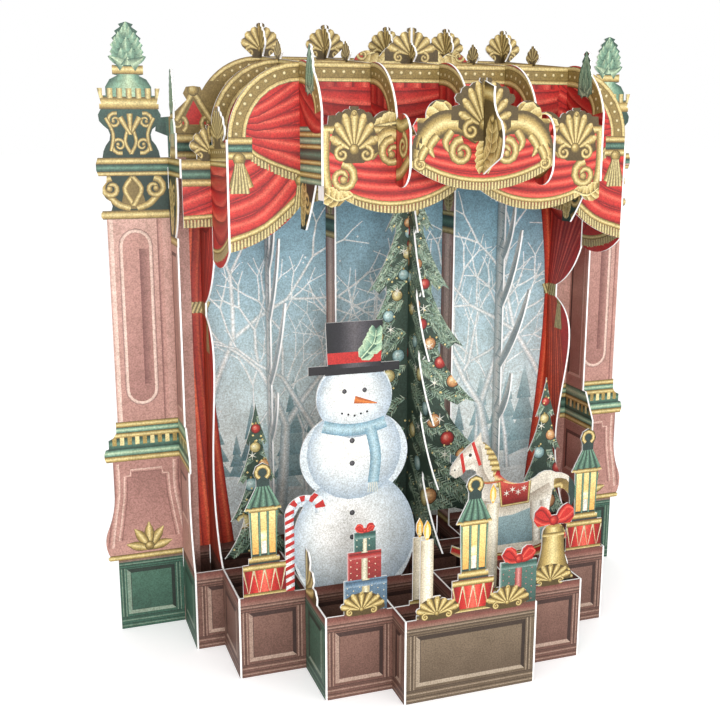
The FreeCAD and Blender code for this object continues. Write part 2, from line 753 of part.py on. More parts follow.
def pillar_rib(label, place):
    """An outer rib: a side-facing pilaster in front of the rear sheet."""
    front = y_fir - half_card
    made = rib(label, place, front, [])
    shaft = y_back - s.rib_shaft_width
    waist_top = s.waist_level + s.waist_height
    bar = 0.2 * s.capital_height
    curl = 0.25 * s.rib_shaft_width
    made.add([
        (before_back, s.base_height - s.overlap),
        [(before_back, shoulder)],
        [(front, shoulder)],
        [(front, band_foot)],
        [(shaft - curl, band_foot)],
        [(shaft - 1.2 * curl, band_foot - 2 * bar), (shaft + curl, s.rib_capital_foot + bar)],
        [(shaft - 0.06 * s.rib_shaft_width, s.rib_capital_foot + bar)],
        [(shaft - 0.06 * s.rib_shaft_width, s.rib_capital_foot)],
        [(shaft, s.rib_capital_foot)],
        [(shaft, waist_top)],
        [(shaft - 0.15 * s.rib_shaft_width, waist_top)],
        [(shaft - 0.6 * s.rib_shaft_width, s.waist_level + 0.3 * s.waist_height)],
        [(shaft - 0.6 * s.rib_shaft_width, s.waist_level)],
        [(shaft - 0.42 * s.rib_shaft_width, s.waist_level)],
        [(shaft - 0.44 * s.rib_shaft_width, 1.5 * s.base_height), (front, s.base_height - s.overlap)],
    ])
    hook = s.pillar_lap - s.hook_drop
    made.add(rectangle(before_back - s.overlap, hook, y_tail, hook + s.hook_height - s.slot_clearance))
    pillar(made, (front + y_back) / 2, shoulder)
    made.cut(slot(y_back, hook - s.overlap, s.pillar_lap))
    return made.body


def curtain_rib(label, place):
    """A side-facing curtain, tied back, under the end of the stage valance."""
    front = y_stage - half_card
    made = rib(label, place, front, [y_fir])
    tie = s.tie_level
    full = s.curtain_fullness
    swag_low = s.swag_end - 0.2 * s.stage_gap
    made.add([
        (before_back, s.base_height - s.overlap),
        [(before_back, s.curtain_beam_top)],
        [(y_fir, s.curtain_beam_top)],
        [(front, s.arch_top - s.arch_radius)],
        [(front, s.swag_end)],
        [((front + y_fir) / 2, swag_low - 0.05 * s.stage_gap), (y_back - full, swag_low)],
        [(y_back - 0.62 * full, tie + 0.3 * full), (y_back - s.tie_width, tie + 0.1 * full)],
        [(y_back - s.tie_width, tie - 0.1 * full)],
        [
            (y_back - 0.72 * full, tie - 0.5 * full),
            (y_back - 0.68 * full, tie - 1.2 * full),
            (y_back - 0.45 * full, tie - 2.4 * full),
            (y_back - 0.7 * full, s.base_height + 0.3 * full),
            (y_back - 0.98 * full, s.base_height - s.overlap),
        ],
    ])
    hook = s.curtain_lap - s.hook_drop
    made.add(rectangle(before_back - s.overlap, hook, y_tail, hook + s.hook_height - s.slot_clearance))
    crest = shell(0.9 * s.stage_gap, 1.1 * s.shell_height)
    made.add(moved(crest, (front + y_fir) / 2, s.curtain_beam_top - s.overlap))
    fir_slot = slot(y_fir, s.swag_end - s.stage_gap, s.curtain_lap)
    made.cut(slot(y_back, hook - s.overlap, s.curtain_lap), fir_slot)
    return made.body


def beam(made, front_steps, laps):
    """The arched beam of a middle rib, from its front end to its tail, with crossed shells on top."""
    hook = s.arch_lap - s.hook_drop
    made.add(front_steps + [
        [(y_stage, s.arch_top)],
        [(y_fir, screen_top)],
        [(y_back, back_top)],
        [(y_tail, back_top)],
        [(y_tail, hook)],
        [(before_back, hook)],
        [(before_back, s.beam_foot)],
        [(y_stage, s.beam_foot)],
    ])
    rear = moved(shell(s.shell_width, s.shell_height), y_back, back_top - s.overlap)
    made.add(rear, moved(shell(s.small_shell_width, s.small_shell_height), y_fir, screen_top - s.overlap))
    foot = s.beam_foot - 0.45 * s.rib_spacing
    made.cut(*[slot(y, foot, lap) for y, lap in laps], slot(y_back, foot, s.arch_lap))


def arc_to_stage(y, level):
    """The quarter arch of a rib, up to the stage valance."""
    bend = math.sqrt(0.5)
    middle = (y_stage - (y_stage - y) * bend, level + (s.arch_top - level) * bend)
    return [middle, (y_stage, s.arch_top)]


def branch_rib(label, place):
    """A rib with a side-facing pillar top over the pit's end, and a bare tree behind the stage."""
    front = y_pit - half_card
    made = rib(label, place, front, [y_stage, y_fir])
    foot = band_foot - 0.1 * s.band_height
    steps = [
        (y_stage, s.pit_foot - 0.4 * s.rib_spacing),
        [(y_stage - 0.24 * s.pit_gap, s.pit_foot - 0.4 * s.rib_spacing)],
        [(y_stage - 0.5 * s.pit_gap, s.pit_foot - 0.1 * s.rib_spacing), (y_stage - 0.72 * s.pit_gap, foot)],
        [(front, foot)],
        [(front, s.pit_top + 0.1 * s.pit_gap)],
        arc_to_stage(front, s.pit_top + 0.1 * s.pit_gap),
    ]
    trunk = before_back - s.branch_width
    made.add(rectangle(trunk, s.base_height - s.overlap, before_back, s.beam_foot + s.overlap))
    room = s.beam_foot - s.base_height
    branches = []
    for level, rise, reach in ((0.30, 0.16, 0.6), (0.46, 0.26, 1.1), (0.64, 0.24, 0.8), (0.78, 0.16, 0.55)):
        low = s.base_height + level * room
        high = low + rise * room
        tip = before_back - reach * s.branch_reach
        middle = (trunk + tip) / 2
        branches.append([
            (trunk + s.overlap, low),
            [(trunk + s.overlap, low + 0.8 * s.branch_width)],
            [(middle + s.overlap, (low + high) / 2 + 0.1 * s.branch_width), (tip + s.overlap, high)],
            [(tip - s.overlap, high)],
            [(middle - s.overlap, (low + high) / 2 - 0.6 * s.branch_width), (trunk + s.overlap, low)],
        ])
    made.add(*branches)
    beam(made, steps, [(y_stage, s.arch_lap), (y_fir, s.arch_lap)])
    axis = (front + y_stage) / 2
    pine_foot = s.arch_top - 0.42 * s.pit_gap
    made.add(moved(symmetric(pineapple(s.rib_finial_width, s.finial_height)), axis, pine_foot))
    leaves = palmette(s.palmette_width, s.palmette_height)
    made.add(moved(leaves, y_stage - slot_width, s.base_height - s.overlap, flip=True))
    return made.body


def post_rib(label, place):
    """A rib with a scroll over the front box and a slim post before the rear sheet."""
    front = y_box - half_card
    made = rib(label, place, front, [y_pit, y_stage, y_fir])
    foot = s.crest_side_foot
    low = s.pit_foot + 0.25 * s.rib_spacing
    steps = [
        (y_stage, s.beam_foot),
        [(y_pit + 0.4 * s.pit_gap, low), (y_pit, low)],
        [((y_pit + front) / 2, low - 0.05 * s.rib_spacing), (front, foot)],
        [(front, s.crest_top - 0.3 * s.rib_spacing)],
        [((y_pit + front) / 2, s.pit_top + 0.08 * s.rib_spacing), (y_pit, s.pit_top)],
        arc_to_stage(y_pit, s.pit_top),
    ]
    post = before_back - s.post_width
    made.add(rectangle(post, s.base_height - s.overlap, before_back, s.beam_foot + s.overlap))
    beam(made, steps, [(y_pit, s.pit_lap), (y_stage, s.arch_lap), (y_fir, s.arch_lap)])
    return made.body


def fir_rib(label, place):
    """The middle rib: the side-facing half of the fir, and the crest in front of the big shell."""
    made = rib(label, place, y_box + corner_gap, [y_pit, y_stage])
    u = s.rib_spacing
    low = s.pit_foot + 0.25 * u
    tip = y_box - s.crest_reach
    steps = [
        (y_stage, s.beam_foot),
        [(y_pit + 0.4 * s.pit_gap, low), (y_pit, low)],
        [(y_box, low + 0.1 * u)],
        [(y_box - 0.4 * s.crest_reach, s.crest_side_foot)],
        [(y_box - 0.9 * s.crest_reach, s.crest_side_foot + 0.12 * u)],
        [(tip, s.crest_lap - 0.12 * u), (y_box - 0.85 * s.crest_reach, s.crest_lap + 0.15 * u)],
        [(y_box - 0.6 * s.crest_reach, s.crest_top), (y_box - 0.5 * s.crest_reach, s.crest_top + 0.3 * u)],
        [(y_box, s.crest_top + 0.38 * u)],
        [(y_pit, s.pit_top + 0.15 * u)],
        arc_to_stage(y_pit, s.pit_top + 0.15 * u),
    ]
    foot = s.base_height - s.overlap
    rear = fir_half(s.fir_back_reach, s.fir_top - foot, s.trunk_width, s.fir_foot - foot, 6)
    near = fir_half(s.fir_reach, s.fir_top - foot, s.trunk_width, s.fir_foot - foot, 6)
    made.add(moved(two_sided(rear, near), y_fir, foot))
    made.cut(slot(y_fir, below, s.fir_lap))
    beam(made, steps, [(y_box, s.crest_lap), (y_pit, s.pit_lap), (y_stage, s.arch_lap)])
    return made.body


RIBS = [
    ("pillar_rib", pillar_rib, "(3 * Sizes.rib_spacing + Sizes.outer_gap)"),
    ("curtain_rib", curtain_rib, "(3 * Sizes.rib_spacing)"),
    ("branch_rib", branch_rib, "(2 * Sizes.rib_spacing)"),
    ("post_rib", post_rib, "Sizes.rib_spacing"),
]

bodies = [
    back_scene(),
    fir_screen(),
    stage_valance(),
    stage_front(),
    pit_valance(),
    pit_front(),
    crest_valance(),
    box_front(),
    fir_rib("fir_rib", "0 mm"),
]
for name, build, place in RIBS:
    bodies.append(build(f"{name}_left", f"-{place}"))
    bodies.append(build(f"{name}_right", place))

doc.recompute()

failed = [o.Name for o in doc.Objects if "Invalid" in o.State or "Error" in o.State]
if failed:
    raise RuntimeError(f"these features failed: {failed}")
for body in bodies:
    shape = body.Shape
    if shape.isNull() or not shape.isValid() or len(shape.Solids) != 1:
        raise RuntimeError(f"{body.Label} is not one valid solid")

os.makedirs("parts", exist_ok=True)
for body in bodies:
    body.Shape.exportStep(f"parts/{body.Label}.step")
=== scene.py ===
import math
import random

import bpy

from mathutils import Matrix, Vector
from mathutils.geometry import delaunay_2d_cdt

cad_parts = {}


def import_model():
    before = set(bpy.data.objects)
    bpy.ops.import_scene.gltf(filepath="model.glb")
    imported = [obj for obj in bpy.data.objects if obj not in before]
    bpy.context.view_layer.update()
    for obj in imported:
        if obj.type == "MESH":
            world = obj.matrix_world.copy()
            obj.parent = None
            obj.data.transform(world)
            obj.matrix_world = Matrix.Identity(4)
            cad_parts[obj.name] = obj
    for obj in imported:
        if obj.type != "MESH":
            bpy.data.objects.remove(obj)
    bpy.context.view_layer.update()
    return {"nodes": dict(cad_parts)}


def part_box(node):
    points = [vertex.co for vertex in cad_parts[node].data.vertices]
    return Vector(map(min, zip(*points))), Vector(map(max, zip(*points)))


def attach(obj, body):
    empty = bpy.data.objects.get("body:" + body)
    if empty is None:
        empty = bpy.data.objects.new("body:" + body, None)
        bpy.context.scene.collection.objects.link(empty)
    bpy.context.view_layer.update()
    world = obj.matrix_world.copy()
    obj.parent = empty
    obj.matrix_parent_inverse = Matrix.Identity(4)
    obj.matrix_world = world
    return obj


# Pop-up theatre card: the frame's sheets stay as white card, and each printed side is a thin
# coloured mesh on it. Drawings are in millimetres, across and up, painted from back to front.
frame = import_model()
random.seed(7)

CARD = 0.5
LIFT = 0.03


def plane_of(node):
    """The depth of a front-facing sheet, in millimetres."""
    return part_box(node)[0].y * 1000 + CARD / 2


def across_of(node):
    """The place of a side-facing rib, in millimetres."""
    return (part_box(node)[0].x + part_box(node)[1].x) * 500


Y_BOX = plane_of("box_front")
Y_PIT = plane_of("pit_front")
Y_STAGE = plane_of("stage_front")
Y_FIR = plane_of("fir_screen")
Y_BACK = plane_of("back_scene")
Y_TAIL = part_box("post_rib_left")[1].y * 1000
U = across_of("post_rib_right")
OUTER_X = across_of("pillar_rib_right")
PILASTER_X = OUTER_X + 10.2
RAIL = 23.8
SWAG_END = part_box("stage_valance")[0].z * 1000
ARCH_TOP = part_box("stage_valance")[1].z * 1000
SCREEN_TOP = ARCH_TOP + 1.9
BACK_TOP = ARCH_TOP + 3.8
ARCH_RADIUS = 19.0
SHOULDER = 141.2
PIT_TOP = 151.0
PIT_FOOT = 131.5
TIE = 98.0
GATHER = 130.0
SWAG_MIDDLE = 134.0
BEAM_FOOT = 132
SCROLL_FOOT = 136
RAIL_FOOT = RAIL - 0.6
FIR_FOOT = 33.0
FIR_HEIGHT = 107
POST = Y_BACK - 0.7 - 4.3
COVER = 190

# Limits of the cut: areas in square millimetres, lengths in millimetres
SMALLEST_LOOP = 1.0
SMALLEST_SHAPE = 0.002
WELD = 1e-5
FINE_WELD = 1e-6
STRAIGHT = 2e-4

# Ink colours
GOLD = [(88, 72, 38), (178, 152, 86), (240, 222, 160), (194, 166, 98), (104, 84, 46)]
STUD = GOLD[2::-1]
THREAD = [GOLD[0], GOLD[2], GOLD[0]]
REDS = [(122, 20, 22), (200, 44, 38), (242, 108, 88), (212, 56, 48), (146, 28, 28)]
PLEAT = REDS[:4] + REDS[:1]
FOLD = REDS[:4] + REDS[1::-1]
DEEP_REDS = [(124, 30, 20), (206, 62, 38), (246, 120, 78), (220, 72, 46), (144, 38, 26)]
PINKS = [(150, 102, 94), (206, 160, 148), (240, 212, 198), (216, 174, 162), (164, 116, 106)]
MINTS = [(58, 90, 76), (122, 162, 138), (200, 222, 186), (136, 174, 148), (66, 98, 84)]
GREENS = [(34, 58, 50), (64, 98, 84), (110, 148, 128), (74, 110, 94), (40, 66, 56)]
BARKS = [(170, 192, 200), (226, 236, 238), (255, 255, 252), (234, 242, 242), (180, 200, 206)]
WHITES = [(168, 184, 198), (222, 230, 234), (252, 252, 250), (232, 238, 240), (180, 196, 208)]
PINK = (198, 150, 138)
PINK_DARK = (128, 84, 78)
PINK_LIGHT = (236, 206, 192)
WOOD = (128, 92, 80)
BOX_WOOD = (118, 101, 81)
RAIL_RED = (134, 82, 72)
BASE_GREEN = (66, 108, 90)
CREAM = (238, 230, 206)
SNOW = (240, 245, 244)
RED = (192, 44, 40)
NIGHT = (48, 66, 62)
COAL = (34, 32, 36)


def mix(one, other, share):
    return tuple(a + (b - a) * share for a, b in zip(one, other))


def fade(low, high, low_level, high_level):
    """A paint that turns from one colour to another with height."""
    def paint(point):
        share = (point[1] - low_level) / (high_level - low_level)
        return mix(low, high, min(1.0, max(0.0, share)))
    return paint


# Drawing
def fill(art, points, paint):
    """A flat shape. Its paint is a colour, or a function of the point."""
    art.append((points, paint))


def triangle(art, points, colours):
    (ax, az), (bx, bz), (cx, cz) = points
    area = (bx - ax) * (cz - az) - (cx - ax) * (bz - az)
    if abs(area) < 1e-4:
        return

    def paint(point):
        along = ((point[0] - ax) * (cz - az) - (cx - ax) * (point[1] - az)) / area
        up = ((bx - ax) * (point[1] - az) - (point[0] - ax) * (bz - az)) / area
        along = min(1.0, max(0.0, along))
        up = min(1.0 - along, max(0.0, up))
        shares = (1 - along - up, along, up)
        return tuple(sum(share * colour[i] for share, colour in zip(shares, colours)) for i in range(3))

    art.append((points, paint))


def rectangle(art, left, foot, right, top, paint):
    fill(art, [(left, foot), (right, foot), (right, top), (left, top)], paint)


def block(art, x, half, foot, top, paint):
    rectangle(art, x - half, foot, x + half, top, paint)


def spark(art, x, z, size, paint):
    fill(art, [(x - size, z), (x, z - size), (x + size, z), (x, z + size)], paint)


def ribbon(art, line, widths, shades):
    """A band along a line, with colours at places from its left edge (-1) to its right one (1).
    Its half width is one number or one for each point."""
    if not isinstance(widths, (list, tuple)):
        widths = [widths] * len(line)
    rows = []
    for i, (x, z) in enumerate(line):
        before = line[max(0, i - 1)]
        after = line[min(len(line) - 1, i + 1)]
        along = Vector((after[0] - before[0], after[1] - before[1])).normalized()
        rows.append([(x - along.y * widths[i] * t, z + along.x * widths[i] * t) for t, _ in shades])
    for low, high in zip(rows, rows[1:]):
        for j in range(len(shades) - 1):
            first, second = shades[j][1], shades[j + 1][1]
            triangle(art, (low[j], low[j + 1], high[j + 1]), (first, second, second))
            triangle(art, (low[j], high[j + 1], high[j]), (first, second, first))


def stroke(art, line, widths, colours):
    """A band along a line, with its colours spread evenly from the left edge to the right one."""
    last = len(colours) - 1
    ribbon(art, line, widths, [(-1 + 2 * i / last, colour) for i, colour in enumerate(colours)])


def disc(art, x, z, radius, colours, sides=14):
    """A ball: rings of colour from a highlight at the upper left to the rim."""
    rings = []
    for i in range(1, len(colours)):
        share = i / (len(colours) - 1)
        cx = x - 0.3 * radius * (1 - share)
        cz = z + 0.3 * radius * (1 - share)
        rings.append([
            (cx + share * radius * math.cos(2 * math.pi * k / sides),
                cz + share * radius * math.sin(2 * math.pi * k / sides))
            for k in range(sides)
        ])
    centre = (x - 0.3 * radius, z + 0.3 * radius)
    for k in range(sides):
        after = (k + 1) % sides
        triangle(art, (centre, rings[0][k], rings[0][after]), (colours[0], colours[1], colours[1]))
        for i in range(len(rings) - 1):
            inner, outer = rings[i], rings[i + 1]
            first, second = colours[i + 1], colours[i + 2]
            triangle(art, (inner[k], outer[k], outer[after]), (first, second, second))
            triangle(art, (inner[k], outer[after], inner[after]), (first, second, first))


def curve(points, steps=10):
    """A smooth line through a few points."""
    line = []
    for i in range(len(points) - 1):
        before = points[max(0, i - 1)]
        here, there = points[i], points[i + 1]
        after = points[min(len(points) - 1, i + 2)]
        count = max(2, steps // (len(points) - 1))
        for k in range(count + (i == len(points) - 2)):
            t = k / count
            line.append(tuple(
                0.5 * (2 * h + (n - b) * t + (2 * b - 5 * h + 4 * n - a) * t * t
                       + (3 * h - b - 3 * n + a) * t ** 3)
                for b, h, n, a in zip(before, here, there, after)
            ))
    return line


def arc(x, z, radius, start, end, steps=10):
    """Points on a circle between two angles in degrees."""
    turn = [math.radians(start + (end - start) * k / steps) for k in range(steps + 1)]
    return [(x + radius * math.cos(a), z + radius * math.sin(a)) for a in turn]


# Ornaments
def moulding(art, line, widths):
    stroke(art, line, widths, GOLD)


def gilt(art, points, widths, steps=10):
    """A gold moulding along a smooth line through a few points."""
    moulding(art, curve(points, steps), widths)


def pearls(art, line, step, radius):
    """A row of gold pearls along a line."""
    left = step / 2
    for (x0, z0), (x1, z1) in zip(line, line[1:]):
        length = math.hypot(x1 - x0, z1 - z0)
        while left <= length:
            share = left / length
            disc(art, x0 + (x1 - x0) * share, z0 + (z1 - z0) * share, radius,
                [CREAM, GOLD[2], GOLD[0]], 7)
            left += step
        left -= length


def volute(art, x, z, radius, start, turns, width):
    """A scroll that winds in towards its eye."""
    steps = max(8, int(abs(turns) * 12))
    line = []
    for k in range(steps + 1):
        share = k / steps
        angle = math.radians(start) + 2 * math.pi * turns * share
        reach = radius * (1 - 0.82 * share)
        line.append((x + reach * math.cos(angle), z + reach * math.sin(angle)))
    moulding(art, line, [width * (1 - 0.55 * k / steps) for k in range(steps + 1)])
    disc(art, *line[-1], 0.9 * width, [GOLD[2], GOLD[3], GOLD[0]], 8)


def leaf(art, points, steps, width, shades=GOLD):
    """An acanthus leaf along a smooth line: curled lobes on both sides and a light vein."""
    line = curve(points, steps)
    count = len(line)
    for i in range(count - 1):
        (x, z), (nx, nz) = line[i], line[i + 1]
        along = Vector((nx - x, nz - z))
        step = along.length
        if step < 1e-6:
            continue
        along.normalize()
        size = width * math.sin(math.pi * (i + 1) / (count + 0.5)) ** 0.7
        for side in (-1, 1):
            out = Vector((-side * along.y, side * along.x))
            lobe = []
            for forward, away in ((0.0, 0.0), (0.7, 0.6), (1.2, 1.0), (1.8, 0.95)):
                spot = Vector((x, z)) + along * step * forward + out * size * away
                lobe.append((spot.x, spot.y))
            tone = [shades[0], shades[1], shades[2]] if side > 0 else [shades[2], shades[3], shades[0]]
            stroke(art, lobe, [0.3 * step, 0.75 * step, 0.6 * step, 0.12 * step], tone)
    vein = [0.2 * width * (1 - 0.7 * i / count) for i in range(count)]
    stroke(art, line, vein, [shades[2], shades[2], shades[0]])


def shell(art, x, foot, width, height, ribs=7):
    """A gold scallop shell with fluted ribs and a scroll at each foot."""
    waist = foot + 0.22 * height
    rise = 0.70 * height
    rim = []
    for k in range(25):
        angle = math.pi * k / 24
        rim.append((x + 0.52 * width * math.cos(angle),
            waist + (rise + 0.06 * height) * math.sin(angle)))
    fill(art, [(x - 0.2 * width, foot), (x + 0.2 * width, foot)] + rim, GOLD[0])
    for k in range(ribs):
        angle = math.radians(8 + 164 * (k + 0.5) / ribs)
        spread = math.radians(164 / ribs) * 0.52
        line = []
        wide = []
        for share in (0.12, 0.4, 0.7, 0.92, 1.03):
            line.append((x + 0.48 * width * share * math.cos(angle),
                waist + rise * share * math.sin(angle)))
            swell = 0.6 if share > 1 else 1.0
            wide.append(swell * 0.5 * spread * share * (0.48 * width + rise) * 0.95)
        stroke(art, line, wide, [GOLD[0], GOLD[1], GOLD[2], GOLD[3], GOLD[0]])
        disc(art, *line[-1], 0.8 * wide[-1], [GOLD[2], GOLD[3]], 8)
    for side in (-1, 1):
        volute(art, x + side * 0.26 * width, foot + 0.17 * height, 0.15 * height, 90, -side * 1.2,
            0.045 * height + 0.12)
    disc(art, x, waist + 0.04 * height, 0.11 * height, STUD, 10)
    disc(art, x, foot + 0.93 * height, 0.05 * height, STUD, 8)


def fringe(art, line, length, gap=0.95):
    """A gold cord with threads that hang from it."""
    left = gap / 2
    for (x0, z0), (x1, z1) in zip(line, line[1:]):
        run = math.hypot(x1 - x0, z1 - z0)
        while left <= run:
            share = left / run
            x, z = x0 + (x1 - x0) * share, z0 + (z1 - z0) * share
            drop = length * random.uniform(0.86, 1.0)
            stroke(art, [(x, z), (x, z - drop)], [0.42 * gap, 0.52 * gap], THREAD)
            left += gap
        left -= run
    moulding(art, line, 0.22 * length)


def sagging(x0, z0, x1, z1, sag, steps=10):
    """Points on a hanging line between two gathers."""
    line = []
    for k in range(steps + 1):
        t = k / steps
        line.append((x0 + (x1 - x0) * t, z0 + (z1 - z0) * t - 4 * sag * t * (1 - t)))
    return line


def swag(art, left, right, depth, sag, folds):
    """Draped cloth between two gathers: folds that hang deeper and deeper."""
    (x0, z0), (x1, z1) = left, right
    fill(art, sagging(x0, z0 - depth, x1, z1 - depth, sag) + [(x1, z1), (x0, z0)], REDS[1])
    for k in range(folds):
        share = (k + 0.5) / folds
        slack = sag * (0.25 + 0.8 * share)
        line = sagging(x0, z0 - depth * share, x1, z1 - depth * share, slack)
        wide = 0.75 * (depth + 0.55 * sag) / folds
        swell = [wide * (0.5 + 0.6 * math.sin(math.pi * i / 10)) for i in range(11)]
        dim = [mix(c, REDS[0], 0.25 * ((k * 5) % 3) / 2) for c in REDS]
        stroke(art, line, swell, [dim[0], dim[1], dim[2], dim[3], dim[1], dim[0]])


def drape(art, rows, shades):
    """Cloth that falls in folds through rows of points."""
    for k in range(len(rows[0]) - 1):
        line = []
        wide = []
        for row in rows:
            (x0, z0), (x1, z1) = row[k], row[k + 1]
            line.append(((x0 + x1) / 2, (z0 + z1) / 2))
            wide.append(0.62 * math.hypot(x1 - x0, z1 - z0))
        line = curve(line, 12)
        where = [i / (len(line) - 1) * (len(wide) - 1) for i in range(len(line))]
        spread = []
        for w in where:
            i = min(int(w), len(wide) - 2)
            spread.append(wide[i] + (wide[i + 1] - wide[i]) * (w - i))
        dim = [mix(c, shades[0], (0.0, 0.35, 0.15)[k % 3]) for c in shades]
        stroke(art, line, spread, [dim[0], dim[1], dim[3], dim[2], dim[1], dim[0]])


def row_of_points(x0, z0, x1, z1, count):
    return [(x0 + (x1 - x0) * k / count, z0 + (z1 - z0) * k / count) for k in range(count + 1)]


def tie(art, x0, x1, level, width):
    """A gold rope round a gathered curtain."""
    rectangle(art, x0, level - width, x1, level + width, GOLD[0])
    count = max(3, int(abs(x1 - x0) / 1.1))
    step = (x1 - x0) / count
    for k in range(count):
        x = x0 + k * step
        stroke(art, [(x, level - width), (x + 1.2 * step, level + width)], 0.5 * abs(step), THREAD)


def tassel(art, x, top, length, width):
    disc(art, x, top, 0.5 * width, STUD, 10)
    for k in range(5):
        foot = x + (k - 2) * 0.3 * width
        stroke(art, [(x + (k - 2) * 0.12 * width, top - 0.3 * width), (foot, top - length)],
            [0.1 * width, 0.17 * width], THREAD)


def panel(art, left, foot, right, top, face, border=1.1):
    """A recessed panel: its left and lower bevels catch the light."""
    light, dark = mix(face, (255, 240, 220), 0.45), mix(face, (20, 10, 10), 0.62)
    inner = (left + border, foot + border, right - border, top - border)
    fill(art, [(left, foot), (inner[0], inner[1]), (inner[0], inner[3]), (left, top)],
        mix(light, face, 0.2))
    fill(art, [(left, foot), (right, foot), (inner[2], inner[1]), (inner[0], inner[1])], light)
    fill(art, [(right, foot), (right, top), (inner[2], inner[3]), (inner[2], inner[1])], dark)
    fill(art, [(left, top), (inner[0], inner[3]), (inner[2], inner[3]), (right, top)],
        mix(dark, face, 0.15))
    rectangle(art, *inner, fade(mix(face, dark, 0.25), mix(face, light, 0.12), inner[1], inner[3]))
    line = 0.18
    rectangle(art, inner[0], inner[3] - line, inner[2], inner[3], mix(dark, face, 0.2))
    rectangle(art, inner[0], inner[1], inner[0] + line, inner[3], mix(dark, face, 0.3))


def base(art, left, right, face, spans, foot=0.0):
    """A base panel with a rail, a plinth and recessed panels between grooved strips."""
    light, dark = mix(face, (255, 236, 214), 0.4), mix(face, (20, 10, 10), 0.55)
    rectangle(art, left, foot, right, RAIL + 0.3, fade(mix(face, dark, 0.2), face, foot, RAIL))
    for level in (3.7, 19.6, 20.4):
        stroke(art, [(left, foot + level), (right, foot + level)], 0.14, [dark, mix(face, dark, 0.5)])
    for x0, x1 in spans:
        for k in range(3):
            groove = 0.55 + 0.5 * k
            for x in (x0 - groove, x1 + groove):
                block(art, x, 0.1, foot + 3.9, RAIL - 4.3, dark if k % 2 else light)
        panel(art, x0, foot + 4.6, x1, RAIL - 4.6, face)
    stroke(art, [(left, RAIL - 1.0), (right, RAIL - 1.0)], 1.25,
        [mix(RAIL_RED, light, 0.55), RAIL_RED, mix(RAIL_RED, dark, 0.4)])
    stroke(art, [(left, RAIL - 2.7), (right, RAIL - 2.7)], 0.4, [light, face, dark])
    for level in (1.2, 2.9):
        stroke(art, [(left, foot + level), (right, foot + level)], 0.45, [light, face, dark])


def pineapple(art, x, foot, width, height):
    """A mint pineapple finial with rows of pointed scales over a ring of leaves."""
    half = [(0.3, -0.03), (0.52, 0.1), (0.5, 0.3), (0.46, 0.45), (0.4, 0.6), (0.3, 0.78), (0.14, 0.94),
        (0.0, 1.06)]
    right = [(x + a * width, foot + b * height) for a, b in half]
    fill(art, right + [(2 * x - a, b) for a, b in right[-2::-1]], MINTS[0])
    rows = 7
    for row in range(rows):
        share = 1 - (row + 0.4) / rows
        level = foot + height * (0.12 + 0.84 * share)
        girth = 0.5 * width * min(1.0, 1.25 * (1 - share) ** 0.62)
        count = 1 if row == 0 else 2 + row % 2 + (row > 3)
        size = 0.16 * width
        for k in range(count):
            spot = x + (k - (count - 1) / 2) * 2 * (girth - size) / max(count - 1, 1)
            low, tip = level - 0.17 * height, level + 0.10 * height
            lean = spot + 0.25 * (spot - x)
            triangle(art, ((spot - 1.2 * size, low), (spot, low), (lean, tip)),
                (MINTS[0], MINTS[1], MINTS[2]))
            triangle(art, ((spot, low), (spot + 1.2 * size, low), (lean, tip)),
                (MINTS[1], MINTS[0], MINTS[3]))
    for side in (-1, 0, 1):
        leaf_line = [(x + side * 0.1 * width, foot), (x + side * 0.45 * width, foot + 0.2 * height)]
        stroke(art, leaf_line, [0.18 * width, 0.04], [GREENS[1], MINTS[2], GREENS[1]])


def bands(art, left, right, levels):
    """Mouldings across a pillar: each runs from one level to the next in its own colours."""
    for (low, colours), (high, _) in zip(levels, levels[1:]):
        middle = (low + high) / 2
        stroke(art, [(left, middle), (right, middle)], (high - low) / 2, colours[::-1])


